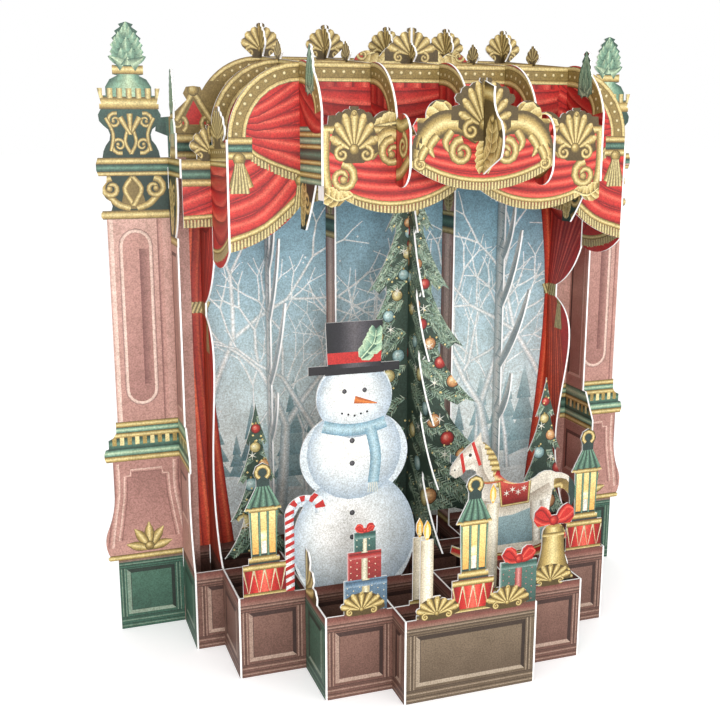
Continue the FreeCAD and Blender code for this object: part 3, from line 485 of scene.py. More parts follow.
def big_pilaster(art, x):
    """A pink marble pilaster with its gold and green capital, block and pineapple."""
    w = 7.6
    block(art, x, 2 * w, -0.1, 141.2, mix(PINK, PINK_LIGHT, 0.2))
    block(art, x, 1.4 * w, 141.2, COVER, MINTS[0])
    base(art, x - 1.3 * w, x + 1.3 * w, BASE_GREEN, [(x - 0.95 * w, x + 0.95 * w)])
    stroke(art, [(x - 1.7 * w, 23.1), (x + 1.7 * w, 23.1)], 0.9, GOLD[::-1])
    block(art, x, 1.8 * w, 24.0, 53.2, fade(PINK, mix(PINK, PINK_DARK, 0.25), 24, 53))
    rim = [(x + 1.5 * w, 26.5), (x + 1.35 * w, 34.5), (x + 1.16 * w, 43.5), (x + 1.16 * w, 52.5)]
    stroke(art, curve(rim), 0.9, [PINK_DARK, PINK, PINK_LIGHT])
    stroke(art, curve([(2 * x - a, b) for a, b in rim]), 0.9, [PINK_LIGHT, PINK, PINK_DARK])
    notch = 1.6
    inside = [(1.12 * w, 28.5), (1.0 * w, 34), (0.84 * w, 42), (0.8 * w, 50 - notch),
        (0.8 * w - notch, 50 - notch), (0.8 * w - notch, 50)]
    inside = [(x + a, b) for a, b in inside] + [(x - a, b) for a, b in reversed(inside)]
    fill(art, inside, fade(mix(PINK, PINK_DARK, 0.2), mix(PINK, PINK_DARK, 0.5), 30, 50))
    stroke(art, inside, 0.6, [PINK_LIGHT, PINK, PINK_DARK])
    for k in range(5):
        angle = math.radians(90 + (k - 2) * 38)
        tip = (x + 7.0 * math.cos(angle), 25.0 + 8.6 * math.sin(angle))
        middle = (x + 3.8 * math.cos(angle), 25.0 + 5.2 * math.sin(angle))
        gilt(art, [(x, 25.2), middle, tip], [0.5, 1.0, 1.35, 1.5, 1.2, 0.6, 0.2], 6)
    disc(art, x, 26.0, 1.5, STUD, 10)
    # waist: gold, dark green, a crenellated gold row, then mint and gold
    bands(art, x - 1.6 * w, x + 1.6 * w, [(53.2, GOLD), (55.0, MINTS), (57.0, GREENS), (60.4, GOLD),
        (62.0, MINTS), (63.6, GOLD), (65.3, GOLD)])
    for k in range(9):
        cx = x + (k - 4) * 0.29 * w
        block(art, cx, 0.6, 58.2, 60.6, GOLD[2] if k % 2 else GOLD[1])
    # shaft with a sunk panel that has round ends
    block(art, x, w, 65.3, 124.2, fade(mix(PINK, PINK_DARK, 0.15), mix(PINK, PINK_LIGHT, 0.35), 65,
        124))
    stroke(art, [(x - 0.9 * w, 65.3), (x - 0.9 * w, 124.2)], 0.75, [PINK_LIGHT, PINK_LIGHT, PINK])
    stroke(art, [(x + 0.9 * w, 65.3), (x + 0.9 * w, 124.2)], 0.75, [PINK, PINK, PINK_DARK])
    r = 0.56 * w
    slot_line = arc(x, 70.5 + r, r, 180, 360, 8) + arc(x, 121 - r, r, 0, 180, 8)
    fill(art, slot_line, fade(mix(PINK, PINK_DARK, 0.45), PINK, 70, 121))
    stroke(art, [(x + 0.62 * r, 72 + r), (x + 0.62 * r, 120 - r)], 0.42 * r,
        [PINK, mix(PINK, PINK_DARK, 0.5), PINK_DARK])
    stroke(art, slot_line + slot_line[:1], 0.55, [PINK_DARK, PINK_LIGHT, PINK_LIGHT])
    # capital
    bands(art, x - 1.3 * w, x + 1.3 * w, [(124.2, GOLD), (126.7, GOLD)])
    block(art, x, 1.3 * w, 126.7, 136.2, GREENS[0])
    fill(art, [(x - 0.5 * w, 127), (x + 0.5 * w, 127), (x + 0.36 * w, 131), (x, 135.4),
        (x - 0.36 * w, 131)], mix(GOLD[0], GOLD[1], 0.5))
    for side in (-1, 1):
        gilt(art, [(x + side * 0.12 * w, 127.2), (x + side * 0.6 * w, 128.6),
            (x + side * 1.0 * w, 132.0)], 1.0)
        volute(art, x + side * 0.78 * w, 132.8, 2.9, 90, side * -1.3, 1.05)
        gilt(art, [(x, 135.9), (x + side * 0.3 * w, 132.8), (x + side * 0.14 * w, 129.8), (x, 128.0)],
            0.75)
    bands(art, x - 1.4 * w, x + 1.4 * w, [(136.2, GOLD), (137.4, GREENS), (139.4, GOLD), (141.2, GOLD)])
    # block: dark green with gold scrolls, a lily and a palmette
    block(art, x, 1.3 * w, 141.2, 154.3, fade(GREENS[0], (58, 88, 78), 141, 154))
    for side in (-1, 1):
        volute(art, x + side * 0.42 * w, 144.6, 2.3, 250 if side > 0 else 290, side * 1.4, 0.62)
        volute(art, x + side * 0.55 * w, 151.2, 2.1, 110 if side > 0 else 70, side * -1.4, 0.6)
        gilt(art, [(x + side * 0.72 * w, 143.0), (x + side * 0.62 * w, 147.6),
            (x + side * 0.86 * w, 152.0)], 0.5)
        gilt(art, [(x, 142.2), (x + side * 1.5, 145.6), (x + side * 0.5, 149.5)], 0.5)
    for k in range(3):
        angle = math.radians(90 + (k - 1) * 34)
        moulding(art, [(x, 147.5), (x + 4.8 * math.cos(angle), 147.5 + 5.6 * math.sin(angle))],
            [0.45, 0.9])
    # crown, vase and finial
    stroke(art, [(x, 157), (x, 160.4), (x, 162.6), (x, 164)], [w, 0.86 * w, 0.5 * w, 0.4 * w], MINTS)
    bands(art, x - 1.2 * w, x + 1.2 * w, [(154.3, GOLD), (157.6, GOLD)])
    for k in range(7):
        cx = x + (k - 3) * 0.34 * w
        stroke(art, [(cx, 157.2), (cx, 159.9)], 0.8, [GOLD[1], GOLD[2], GOLD[0]])
    bands(art, x - 0.7 * w, x + 0.7 * w, [(163.6, GOLD), (166.2, GOLD)])
    pineapple(art, x, 166.0, 1.36 * w, 11.4)


def arch_band(art, line, width=1.5, step=2.6):
    """A gold arch moulding: light rims and a flat band with a row of pearls."""
    face = mix(GOLD[0], GOLD[1], 0.7)
    rims = [(-1.5, GOLD[0]), (-1.3, GOLD[2]), (-0.95, GOLD[3]), (-0.9, GOLD[0]), (-0.8, face),
        (0.5, face), (0.6, GOLD[0])]
    rims += [(0.7, GOLD[3]), (1.0, GOLD[2]), (1.25, GOLD[1]), (1.5, (70, 40, 30))]
    ribbon(art, line, width, rims)
    pearls(art, line, step, 0.32 * width)


def arch_line(spring_end, spring, top, inset):
    """The line of a flat-topped arch, from its left spring to its right one."""
    reach = spring_end - inset
    high = top - inset
    radius = ARCH_RADIUS - inset
    line = [(-reach, spring)] + arc(-reach + radius, high - radius, radius, 180, 90, 8)
    return line + arc(reach - radius, high - radius, radius, 90, 0, 8) + [(reach, spring)]


def snowfall(art, left, foot, right, top, count):
    for _ in range(count):
        x, z = random.uniform(left, right), random.uniform(foot, top)
        size = random.uniform(0.12, 0.42)
        spark(art, x, z, size, SNOW)


def bare_tree(art, x, z, angle, length, width, depth):
    """A frosted tree that forks until its twigs are thin."""
    bend = angle + random.uniform(-9, 9)
    middle = (x + 0.5 * length * math.cos(math.radians(angle)),
        z + 0.5 * length * math.sin(math.radians(angle)))
    tip = (middle[0] + 0.5 * length * math.cos(math.radians(bend)),
        middle[1] + 0.5 * length * math.sin(math.radians(bend)))
    bark = [BARKS[0], BARKS[2], BARKS[0]] if width > 0.4 else [BARKS[1], BARKS[2]]
    stroke(art, [(x, z), middle, tip], [width, 0.85 * width, 0.7 * width], bark)
    if depth:
        for side in (-1, 1):
            spread = random.uniform(16, 34) * side
            bare_tree(art, *tip, bend + spread, length * random.uniform(0.62, 0.82), 0.62 * width,
                depth - 1)


def spray(art, x, z, angle, length, needle, colours):
    """A fir twig with needles on both sides."""
    lean = math.radians(angle)

    def along(t):
        return x + length * t * math.cos(lean), z + length * t * math.sin(lean) - 0.25 * length * t * t

    droop = [along(t) for t in (0, 0.5, 1)]
    stroke(art, droop, [0.22, 0.18, 0.08], [(70, 52, 40), (96, 74, 56)])
    for k in range(6):
        t = (k + 0.5) / 6
        px, pz = along(t)
        for side in (-1, 1):
            point = lean + side * math.radians(random.uniform(32, 52))
            tip = (px + needle * math.cos(point), pz + needle * math.sin(point))
            off = (0.28 * math.cos(point + math.pi / 2), 0.28 * math.sin(point + math.pi / 2))
            shade = random.choice(colours)
            triangle(art, ((px - off[0], pz - off[1]), (px + off[0], pz + off[1]), tip),
                (mix(shade, (20, 32, 26), 0.5), shade, mix(shade, SNOW, 0.35)))


def fir(art, x, foot, height, left, right, sprays, baubles):
    """A fir: dark inside, with rows of twigs, frost and hung ornaments."""
    crown = [(x - 1.5 * left, foot - 6), (x + 1.5 * right, foot - 6), (x + 2, foot + 1.1 * height),
        (x - 2, foot + 1.1 * height)]
    fill(art, crown, fade((40, 58, 48), (66, 88, 74), foot, foot + height))
    for k in range(sprays):
        share = ((k + random.random()) / sprays) ** 1.25
        level = foot + height * (0.02 + 0.95 * share)
        side = random.choice((-1, 1))
        girth = (left if side < 0 else right) * (1.02 - share)
        reach = girth * random.random() ** 0.75
        angle = 90 - side * (100 + 25 * random.random())
        colours = [(120, 152, 122), (158, 188, 156), (200, 220, 190), (92, 122, 100), (138, 170, 150)]
        size = 1 - 0.4 * share
        spray(art, x + side * reach, level + 1.5, angle, random.uniform(4.4, 6.4) * size, 2.5 * size,
            colours)
    kinds = [
        [(255, 236, 200), (232, 178, 120), (150, 92, 52)],
        [(255, 250, 226), (226, 212, 150), (140, 118, 62)],
        [(246, 170, 150), (196, 56, 46), (110, 24, 26)],
        [(236, 248, 244), (176, 206, 204), (96, 132, 136)],
    ]
    for k in range(baubles):
        share = (k + 0.5) / baubles
        side = -1 if k % 2 else 1
        girth = (left if side < 0 else right) * (0.92 - share)
        spot = x + side * girth * (0.25 + 0.65 * ((k * 7) % 5) / 4)
        level = foot + height * (0.04 + 0.84 * share)
        size = 2.5 - 1.2 * share
        disc(art, spot, level, 1.12 * size, [(40, 56, 48), (40, 56, 48)], 14)
        disc(art, spot, level, size, kinds[k % 4], 16)
        fill(art, [(spot - 0.3, level + size - 0.1), (spot + 0.3, level + size - 0.1),
            (spot + 0.2, level + size + 0.5), (spot - 0.2, level + size + 0.5)], GOLD[1])
    for _ in range(4 * baubles):
        share = random.random() ** 1.3
        girth = (left + right) / 2 * (1.0 - share)
        spot, level = x + girth * random.uniform(-0.9, 0.9), foot + height * share
        spark(art, spot, level, 0.36, (250, 226, 150))
    for k in range(baubles // 2):
        share = (k + 0.4) / (baubles / 2)
        side = 1 if k % 2 else -1
        cx = x + side * 0.45 * (left if side < 0 else right) * (0.95 - share)
        snowflake(art, cx, foot + height * (0.1 + 0.8 * share), 1.9 - 0.8 * share)


def snowflake(art, x, z, size):
    for k in range(3):
        angle = math.radians(30 + 60 * k)
        dx, dz = size * math.cos(angle), size * math.sin(angle)
        stroke(art, [(x - dx, z - dz), (x, z), (x + dx, z + dz)], [0.05, 0.16, 0.05], [CREAM, SNOW])
    disc(art, x, z, 0.3 * size, [SNOW, CREAM], 6)


# Standing figures
def placed(x, z, scale):
    """A function that turns a figure's own units into a point on the sheet."""
    return lambda across, up: (x + across * scale, z + up * scale)


def snowman(art, x, foot):
    r = 18.0
    at = placed(x, foot, r)
    block(art, x, 1.1 * r, foot, foot + 4.4 * r, (214, 224, 230))
    for level, size in ((0.82, 1.02), (2.18, 0.76), (3.0, 0.6)):
        disc(art, x, foot + level * r, size * r, [WHITES[2], WHITES[2], WHITES[1], WHITES[0]], 22)
    block(art, x, 0.8 * r, foot + 3.40 * r, foot + 3.57 * r, COAL)
    stroke(art, [at(0, 3.5), at(0, 4.25)], 0.47 * r,
        [(20, 20, 24), (60, 58, 64), (96, 92, 96), (40, 38, 44), (20, 20, 24)])
    block(art, x, 0.5 * r, foot + 3.57 * r, foot + 3.74 * r, RED)
    leaf(art, [at(0.1, 3.64), at(0.3, 3.85), at(0.34, 4.05)], 5, 1.4, MINTS)
    stroke(art, sagging(x - 0.5 * r, foot + 2.62 * r, x + 0.5 * r, foot + 2.62 * r, 1.6), 1.7,
        [(110, 150, 170), (186, 214, 224), (120, 160, 178)])
    stroke(art, curve([at(0.25, 2.55), at(0.34, 2.1), at(0.3, 1.65)]), 1.6,
        [(110, 150, 170), (186, 214, 224), (120, 160, 178)])
    for k in range(5):
        stroke(art, [(x + (0.24 + 0.03 * k) * r, foot + 1.66 * r),
            (x + (0.22 + 0.04 * k) * r, foot + 1.5 * r)], 0.2, [CREAM, (150, 180, 192)])
    for level in (2.36, 2.0, 1.2, 0.8):
        disc(art, x - 0.04 * r, foot + level * r, 0.8, [(110, 108, 112), COAL], 8)
    for side in (-1, 1):
        disc(art, x + side * 0.16 * r, foot + 3.14 * r, 0.7, [(110, 108, 112), COAL], 8)
    stroke(art, [at(0, 3.0), at(0.36, 2.92)], [1.1, 0.15],
        [(150, 70, 30), (236, 140, 70), (170, 84, 40)])
    for k in range(5):
        disc(art, x + (k - 2) * 0.1 * r, foot + 2.8 * r - 0.05 * r * (1 - abs(k - 2) / 2), 0.35,
            [COAL, COAL], 6)


def rocking_horse(art, x, foot):
    k = 3.8
    at = placed(x, foot, k)
    block(art, x, 6 * k, foot - 2, foot + 11 * k, (226, 218, 202))
    stroke(art, curve([at(-3.6, 4.6), at(0, 3.9), at(3.6, 5.2)]), 3.2,
        [WHITES[2], (230, 222, 206), (170, 156, 140)])
    fill(art, [at(-2.9, 1.3), at(3.0, 1.3), at(3.1, 3.4), at(2.1, 4.2), at(0.2, 3.7), at(-1.6, 3.6),
        at(-2.7, 4.3)], fade((118, 150, 160), (160, 186, 190), foot, foot + 4 * k))
    for lx in (-2.95, -1.9, 2.2, 3.1):
        stroke(art, curve([at(lx, 4.6), at(lx * 1.02, 2.9), at(lx * 1.06, 1.2)]),
            [2.0] * 5 + [1.3] * 6, [(158, 144, 128), (240, 234, 220), (250, 246, 236), (176, 162, 146)])
    stroke(art, curve([at(-2.2, 5.2), at(-3.3, 7.4), at(-3.3, 9.6)]),
        [4.6, 4.4, 4.0, 3.8, 3.6, 3.5, 3.4, 3.2, 3.0, 2.6, 2.2],
        [(170, 156, 140), (246, 240, 228), (226, 218, 202)])
    stroke(art, curve([at(-3.2, 9.0), at(-4.2, 8.5), at(-4.9, 7.8)]),
        [3.2, 3.0, 2.8, 2.6, 2.5, 2.4, 2.3, 2.2, 2.2, 2.1, 1.9],
        [(180, 166, 150), (246, 240, 228), (214, 204, 188)])
    for i in range(9):
        t = i / 8
        start = at(-2.5 + 1.2 * t, 9.9 - 3.6 * t)
        end = at(-1.0 + 1.3 * t, 8.6 - 3.0 * t)
        middle = at(-1.2 + 1.0 * t, 9.7 - 3.5 * t)
        gilt(art, [start, middle, end], [0.9, 0.9, 0.8, 0.7, 0.5, 0.3, 0.2], 6)
    for i in range(7):
        t = i / 6
        gilt(art, [at(3.7, 6.1 - 0.5 * t), at(4.9 - 0.5 * t, 5.6), at(4.6 - 0.5 * t, 3.4 + t)],
            [0.5, 0.8, 0.9, 0.9, 0.8, 0.7, 0.6, 0.4, 0.2], 8)
    fill(art, [at(-1.1, 6.9), at(1.6, 6.5), at(1.5, 4.6), at(-0.8, 4.5)],
        fade(REDS[0], REDS[2], foot + 4.5 * k, foot + 7 * k))
    moulding(art, [at(-1.1, 6.9), at(-0.8, 4.5), at(1.5, 4.6), at(1.6, 6.5)], 0.45)
    stroke(art, curve([at(-1.4, 7.2), at(0.2, 6.5), at(1.9, 7.0)]), 1.2, [GOLD[2], RED, REDS[0]])
    for i in range(4):
        snowflake(art, *at(-0.4 + 0.5 * i, 5.5 + 0.25 * (i % 2)), 1.0)
    stroke(art, [at(-4.3, 9.1), at(-4.0, 7.5)], 0.5, [REDS[1], REDS[3]])
    stroke(art, [at(-3.4, 10.0), at(-2.7, 8.0)], 0.5, [REDS[1], REDS[3]])
    stroke(art, curve([at(-4.0, 7.6), at(-2.4, 6.6), at(-0.6, 6.6)]), 0.35, [REDS[1], GOLD[1]])
    disc(art, *at(-3.55, 8.9), 0.55, [(90, 70, 60), COAL], 8)
    disc(art, *at(-4.8, 7.85), 0.3, [COAL, COAL], 6)
    rocker = curve([at(-5.1, 1.6), at(-2.6, 0.55), at(0, 0.25), at(2.6, 0.55), at(5.1, 1.6)], 16)
    stroke(art, rocker, 1.5, [GOLD[2], RED, REDS[1], REDS[0]])
    moulding(art, [(p, q + 0.9) for p, q in rocker], 0.35)


def drum(art, x, foot, half, height):
    block(art, x, half, foot, foot + height, RED)
    stroke(art, [(x, foot), (x, foot + height)], half, [REDS[0], REDS[1], REDS[2], REDS[1], REDS[0]])
    for k in range(4):
        a = x - half + k * half / 2
        stroke(art, [(a, foot + height - 1.2), (a + half / 4, foot + 1.2),
            (a + half / 2, foot + height - 1.2)], 0.25, [CREAM, GOLD[1]])
    for level in (0.9, height - 0.9):
        stroke(art, [(x - half, foot + level), (x + half, foot + level)], 0.85, GOLD[::-1])


def lantern(art, x, foot):
    w = 6.0
    drum(art, x, foot, w, 10.0)
    foot += 10.0
    at = placed(x, foot, w)
    block(art, x, w, foot, foot + 5 * w, NIGHT)
    fill(art, [at(-0.56, 0.5), at(0.56, 0.5), at(0.6, 2.5), at(-0.6, 2.5)],
        fade((240, 170, 80), (255, 232, 160), foot, foot + 2.5 * w))
    disc(art, x, foot + 1.3 * w, 0.34 * w, [(255, 255, 236), (255, 240, 180), (252, 208, 120)], 12)
    stroke(art, [at(0, 0.5), at(0, 1.1)], 0.12 * w, [CREAM, SNOW, CREAM])
    for bar in (-0.62, -0.2, 0.2, 0.62):
        stroke(art, [(x + bar * w * 0.95, foot + 0.3 * w), (x + bar * w, foot + 2.6 * w)], 0.06 * w,
            [GREENS[1], MINTS[1], GREENS[0]])
    stroke(art, [(x - w, foot + 0.25 * w), (x + w, foot + 0.25 * w)], 0.16 * w, GOLD[::-1])
    stroke(art, [(x - w, foot + 2.62 * w), (x + w, foot + 2.62 * w)], 0.12 * w, GOLD[::-1])
    for k in range(5):
        stroke(art, [at((k - 2) * 0.36, 2.75), at((k - 2) * 0.12, 3.7)], [0.2 * w, 0.06 * w],
            [GREENS[0], MINTS[1], GREENS[0]])
    moulding(art, arc(x, foot + 4.35 * w, 0.3 * w, -60, 240, 8), 0.1 * w)


def cane(art, x, foot, height):
    r = 0.16 * height
    line = [(x, foot), (x, foot + height - r)] + arc(x + r, foot + height - r, r, 180, -10, 9)
    line = curve([line[0], (x, foot + 0.5 * height)] + line[1:], 30)
    stroke(art, line, 0.34 * r, [WHITES[0], WHITES[2], WHITES[1]])
    for k in range(11):
        level = foot + k * 0.08 * height
        if level < foot + height - 1.2 * r:
            fill(art, [(x - 0.3 * r, level), (x + 0.3 * r, level + 1.1), (x + 0.3 * r, level + 2.2),
                (x - 0.3 * r, level + 1.1)], RED)
    for angle in (150, 110, 70, 30):
        (ax, az), (bx, bz) = arc(x + r, foot + height - r, 0.7 * r, angle, angle - 18, 1)
        (cx, cz), (dx, dz) = arc(x + r, foot + height - r, 1.32 * r, angle - 22, angle, 1)
        fill(art, [(ax, az), (bx, bz), (cx, cz), (dx, dz)], RED)


def gift(art, left, foot, right, top, colour, ribbon):
    middle = (left + right) / 2
    wide = 0.09 * (right - left)
    rectangle(art, left, foot, right, top, fade(mix(colour, COAL, 0.3), mix(colour, SNOW, 0.12), foot,
        top))
    for k in range(int((right - left) / 1.7)):
        x = left + 0.9 + 1.7 * k
        for row in range(int((top - foot) / 1.8)):
            z = foot + 0.9 + 1.8 * row + 0.9 * (k % 2)
            if z < top - 0.4:
                spark(art, x, z, 0.2, mix(ribbon, SNOW, 0.4))
    stroke(art, [(middle, foot), (middle, top)], wide,
        [mix(ribbon, COAL, 0.3), mix(ribbon, SNOW, 0.5), mix(ribbon, COAL, 0.3)])
    stroke(art, [(left, top - 1.2), (right, top - 1.2)], 0.8,
        [mix(colour, SNOW, 0.4), colour, mix(colour, COAL, 0.5)])
    rectangle(art, left, foot, left + 0.4, top, mix(colour, SNOW, 0.35))


def bow(art, x, z, size, colours):
    at = placed(x, z, size)
    for side in (-1, 1):
        loop = curve([(x, z), at(side * 0.6, 0.75), at(side * 1.1, 0.5), at(side * 0.6, 0.05), (x, z)],
            12)
        fill(art, loop, colours[1])
        stroke(art, loop, 0.12 * size, [colours[2], colours[1], colours[0]])
    disc(art, x, z + 0.1 * size, 0.26 * size, [colours[2], colours[1], colours[0]], 8)


def bell(art, x, foot):
    w = 7.0
    at = placed(x, foot, w)
    block(art, x, 1.2 * w, foot, foot + 2.75 * w, GOLD[1])
    stroke(art, [at(0, 0.2), at(0, 0.9), at(0, 1.7), at(0, 2.5)], [w, 0.72 * w, 0.58 * w, 0.42 * w],
        [GOLD[0], GOLD[1], GOLD[2], GOLD[3], GOLD[0]])
    for level, wide in ((0.32, 1.0), (0.62, 0.86), (2.2, 0.6)):
        stroke(art, [(x - wide * w, foot + level * w), (x + wide * w, foot + level * w)], 0.07 * w,
            STUD)
    disc(art, x, foot + 0.12 * w, 0.26 * w, STUD, 10)
    block(art, x, 1.2 * w, foot + 2.6 * w, foot + 3.7 * w, REDS[1])
    bow(art, x, foot + 2.7 * w, 0.86 * w, REDS)


def candle(art, x, foot, height):
    w = 1.8
    at = placed(x, foot, w)
    block(art, x, 2 * w, foot, foot + height, CREAM)
    stroke(art, [(x, foot + w), (x, foot + height - 3 * w)], w,
        [(190, 176, 146), (250, 246, 230), (240, 230, 206), (180, 164, 134)])
    stroke(art, [at(-1.6, 0.55), at(1.6, 0.55)], 0.55 * w, GOLD[::-1])
    block(art, x, w, foot + height - 3 * w, foot + height + w, (250, COVER, 80))
    fill(art, [(x - 0.25 * w, foot + height - 2.7 * w), (x + 0.25 * w, foot + height - 2.7 * w),
        (x + 0.2 * w, foot + height - 1.2 * w), (x, foot + height - 0.5 * w),
        (x - 0.2 * w, foot + height - 1.2 * w)], (255, 246, 190))


# Sheets
def winter_view(art, half, foot, top):
    """Sky, distant firs, snowy hills and frosted trees."""
    rectangle(art, -half, foot, half, top, fade((238, 246, 244), (98, 152, 178), foot + 30, top - 22))
    for k in range(26):
        x = -half + 2 * half * (k + random.random()) / 26
        height = random.uniform(14, 30)
        ground = foot + 16 + 5 * math.sin(k)
        shade = mix((96, 134, 142), (176, 206, 212), random.random())
        for tier in range(4):
            low = ground + height * tier / 4
            wide = 0.26 * height * (1 - tier / 4.6)
            triangle(art, ((x - wide, low), (x + wide, low), (x, low + 0.42 * height)),
                (shade, mix(shade, SNOW, 0.25), mix(shade, SNOW, 0.5)))
    for level, phase, tint in ((18, 0.4, 0.75), (11, 2.0, 0.9), (5, 4.1, 1.0)):
        ridge = [
            (-half + 2 * half * i / 16, foot + level + 3.2 * math.sin(phase + 0.9 * i))
            for i in range(17)
        ]
        fill(art, [(-half, foot), (half, foot)] + ridge[::-1], mix((170, 196, 206), SNOW, tint))
        stroke(art, ridge, 0.5, [SNOW, mix((170, 196, 206), SNOW, tint)])
    for x, lean, size in ((-44, 88, 22), (-26, 95, 20), (31, 84, 21), (44, 96, 24)):
        bare_tree(art, x, foot + 14, lean, size, 0.04 * size, 4)
    for x, lean, size in ((-54, 97, 33), (-35, 84, 30), (-17, 98, 27), (18, 84, 27), (38, 97, 31),
            (55, 84, 33)):
        bare_tree(art, x, foot + 6, lean, size, 0.07 * size, 5)
    snowfall(art, -half, foot, half, top, 240)


def back_scene():
    art = []
    rectangle(art, -100, -1, 100, COVER, WOOD)
    winter_view(art, OUTER_X, RAIL, BACK_TOP)
    base(art, -OUTER_X - 3, OUTER_X + 3, WOOD, [(-55 + 19 * k, -40 + 19 * k) for k in range(6)])
    spring_end = OUTER_X - 0.4 * U
    for k in range(3):
        swag(art, (-57 + 38 * k, 164), (-19 + 38 * k, 164), 14, 6, 5)
        fringe(art, sagging(-57 + 38 * k, 150, -19 + 38 * k, 150, 6), 2.4)
    for side in (-1, 1):
        tops = row_of_points(side * (OUTER_X + 3), 150, side * 48, 160, 6)
        ties = row_of_points(side * (OUTER_X + 3), TIE, side * 56, TIE, 6)
        feet = row_of_points(side * (OUTER_X + 3), RAIL, side * 50, RAIL, 6)
        drape(art, [tops, ties, feet], DEEP_REDS)
        tie(art, side * (OUTER_X + 3), side * 55.4, TIE, 1.6)
    arch_band(art, arch_line(spring_end, SHOULDER, BACK_TOP, 2.2), 1.55)
    for side in (-1, 1):
        x = side * spring_end
        block(art, x, 9, SHOULDER - 0.6, SHOULDER + 21, mix(GOLD[0], GOLD[1], 0.55))
        fill(art, [(x - 3.6, SHOULDER + 9), (x + 3.6, SHOULDER + 9), (x, SHOULDER + 15.6)], REDS[1])
        bands(art, x - 8, x + 8, [(SHOULDER - 0.6, GOLD), (SHOULDER + 1.6, GREENS),
            (SHOULDER + 4, GOLD), (SHOULDER + 6.6, GOLD)])
        volute(art, x - 4.4, SHOULDER + 9.4, 2.6, -60, 1.3, 0.8)
        volute(art, x + 4.4, SHOULDER + 9.4, 2.6, 240, -1.3, 0.8)
        moulding(art, [(x - 5, SHOULDER + 10), (x, SHOULDER + 18)], 0.9)
        moulding(art, [(x + 5, SHOULDER + 10), (x, SHOULDER + 18)], 0.9)
        disc(art, x, SHOULDER + 18.4, 1.7, STUD, 10)
        big_pilaster(art, side * PILASTER_X)
    for n in range(-2, 3):
        shell(art, n * U, BACK_TOP - 0.6, 12.2, 9.6)
    return art


def drapery(art, half, foot_end, top, fringe_drop):
    """Three swags over the width of an arch, with a gold fringe along their feet."""
    rectangle(art, -half - 1, foot_end - 8, half + 1, top + 2, REDS[1])
    between = (half + 2 * U) / 2
    sag_end = (foot_end + GATHER) / 2 - 0.12 * U
    drape(art, [row_of_points(-2 * U, z, 2 * U, z, 16) for z in (top, SWAG_MIDDLE - 4)], REDS)
    for k in range(2):
        swag(art, (-2 * U + 2 * U * k, top - 6), (2 * U * k, top - 6), 13, 7, 5)
    swag(art, (-2 * U, GATHER + 15), (2 * U, GATHER + 15), 12, 4.2, 5)
    for side in (-1, 1):
        hanging_cloth(art, side, half, foot_end, top)
    low = fringe_drop - 0.45
    line = curve([(-half, foot_end + low), (-between, sag_end + low), (-2 * U, GATHER + low)], 8)
    fringe(art, line, fringe_drop)
    fringe(art, [(-x, z) for x, z in line], fringe_drop)
    centre = arc_through((-2 * U, GATHER + low), (0.0, SWAG_MIDDLE + low), (2 * U, GATHER + low))
    fringe(art, centre, fringe_drop)


def hanging_cloth(art, side, half, foot, top):
    """The end of an arch: a long cloth in slanting folds, and a shorter one with a fringe over it."""
    low = [(side * (half + 1), foot - 3), (side * 2 * U, GATHER - 4), (side * 1.9 * U, top),
        (side * (half + 1), top)]
    fill(art, low, REDS[1])
    for k in range(7):
        rise = 5.2 * k
        line = curve([
            (side * (half + 1), foot + 1.5 + 0.8 * rise),
            (side * (half - 0.5 * U), foot + 4.6 + 0.92 * rise),
            (side * 1.9 * U, GATHER + 6 + rise),
        ], 8)
        stroke(art, line, [1.7 + 0.2 * (k % 3)] * len(line), FOLD[::side])
    edge = curve([(side * (half + 1), top - 14), (side * (half - 0.4 * U), GATHER + 12.5),
        (side * 1.85 * U, GATHER + 7)], 8)
    fill(art, edge + [(side * 1.85 * U, top), (side * (half + 1), top)], REDS[1])
    for k in range(6):
        line = [(x, z + 2.6 + 4.6 * k * (1 - 0.045 * abs(x - side * 1.85 * U))) for x, z in edge]
        stroke(art, line, [1.9 - 0.1 * k] * len(line), FOLD[::side])
    fringe(art, edge, 2.6)


def arc_through(first, middle, last, steps=16):
    """Points on the circle through three points."""
    (ax, az), (bx, bz), (cx, cz) = first, middle, last
    d = 2 * (ax * (bz - cz) + bx * (cz - az) + cx * (az - bz))
    a, b, c = ax * ax + az * az, bx * bx + bz * bz, cx * cx + cz * cz
    ox = (a * (bz - cz) + b * (cz - az) + c * (az - bz)) / d
    oz = (a * (cx - bx) + b * (ax - cx) + c * (bx - ax)) / d
    start = math.degrees(math.atan2(az - oz, ax - ox))
    end = math.degrees(math.atan2(cz - oz, cx - ox))
    return arc(ox, oz, math.hypot(ax - ox, az - oz), start, end, steps)


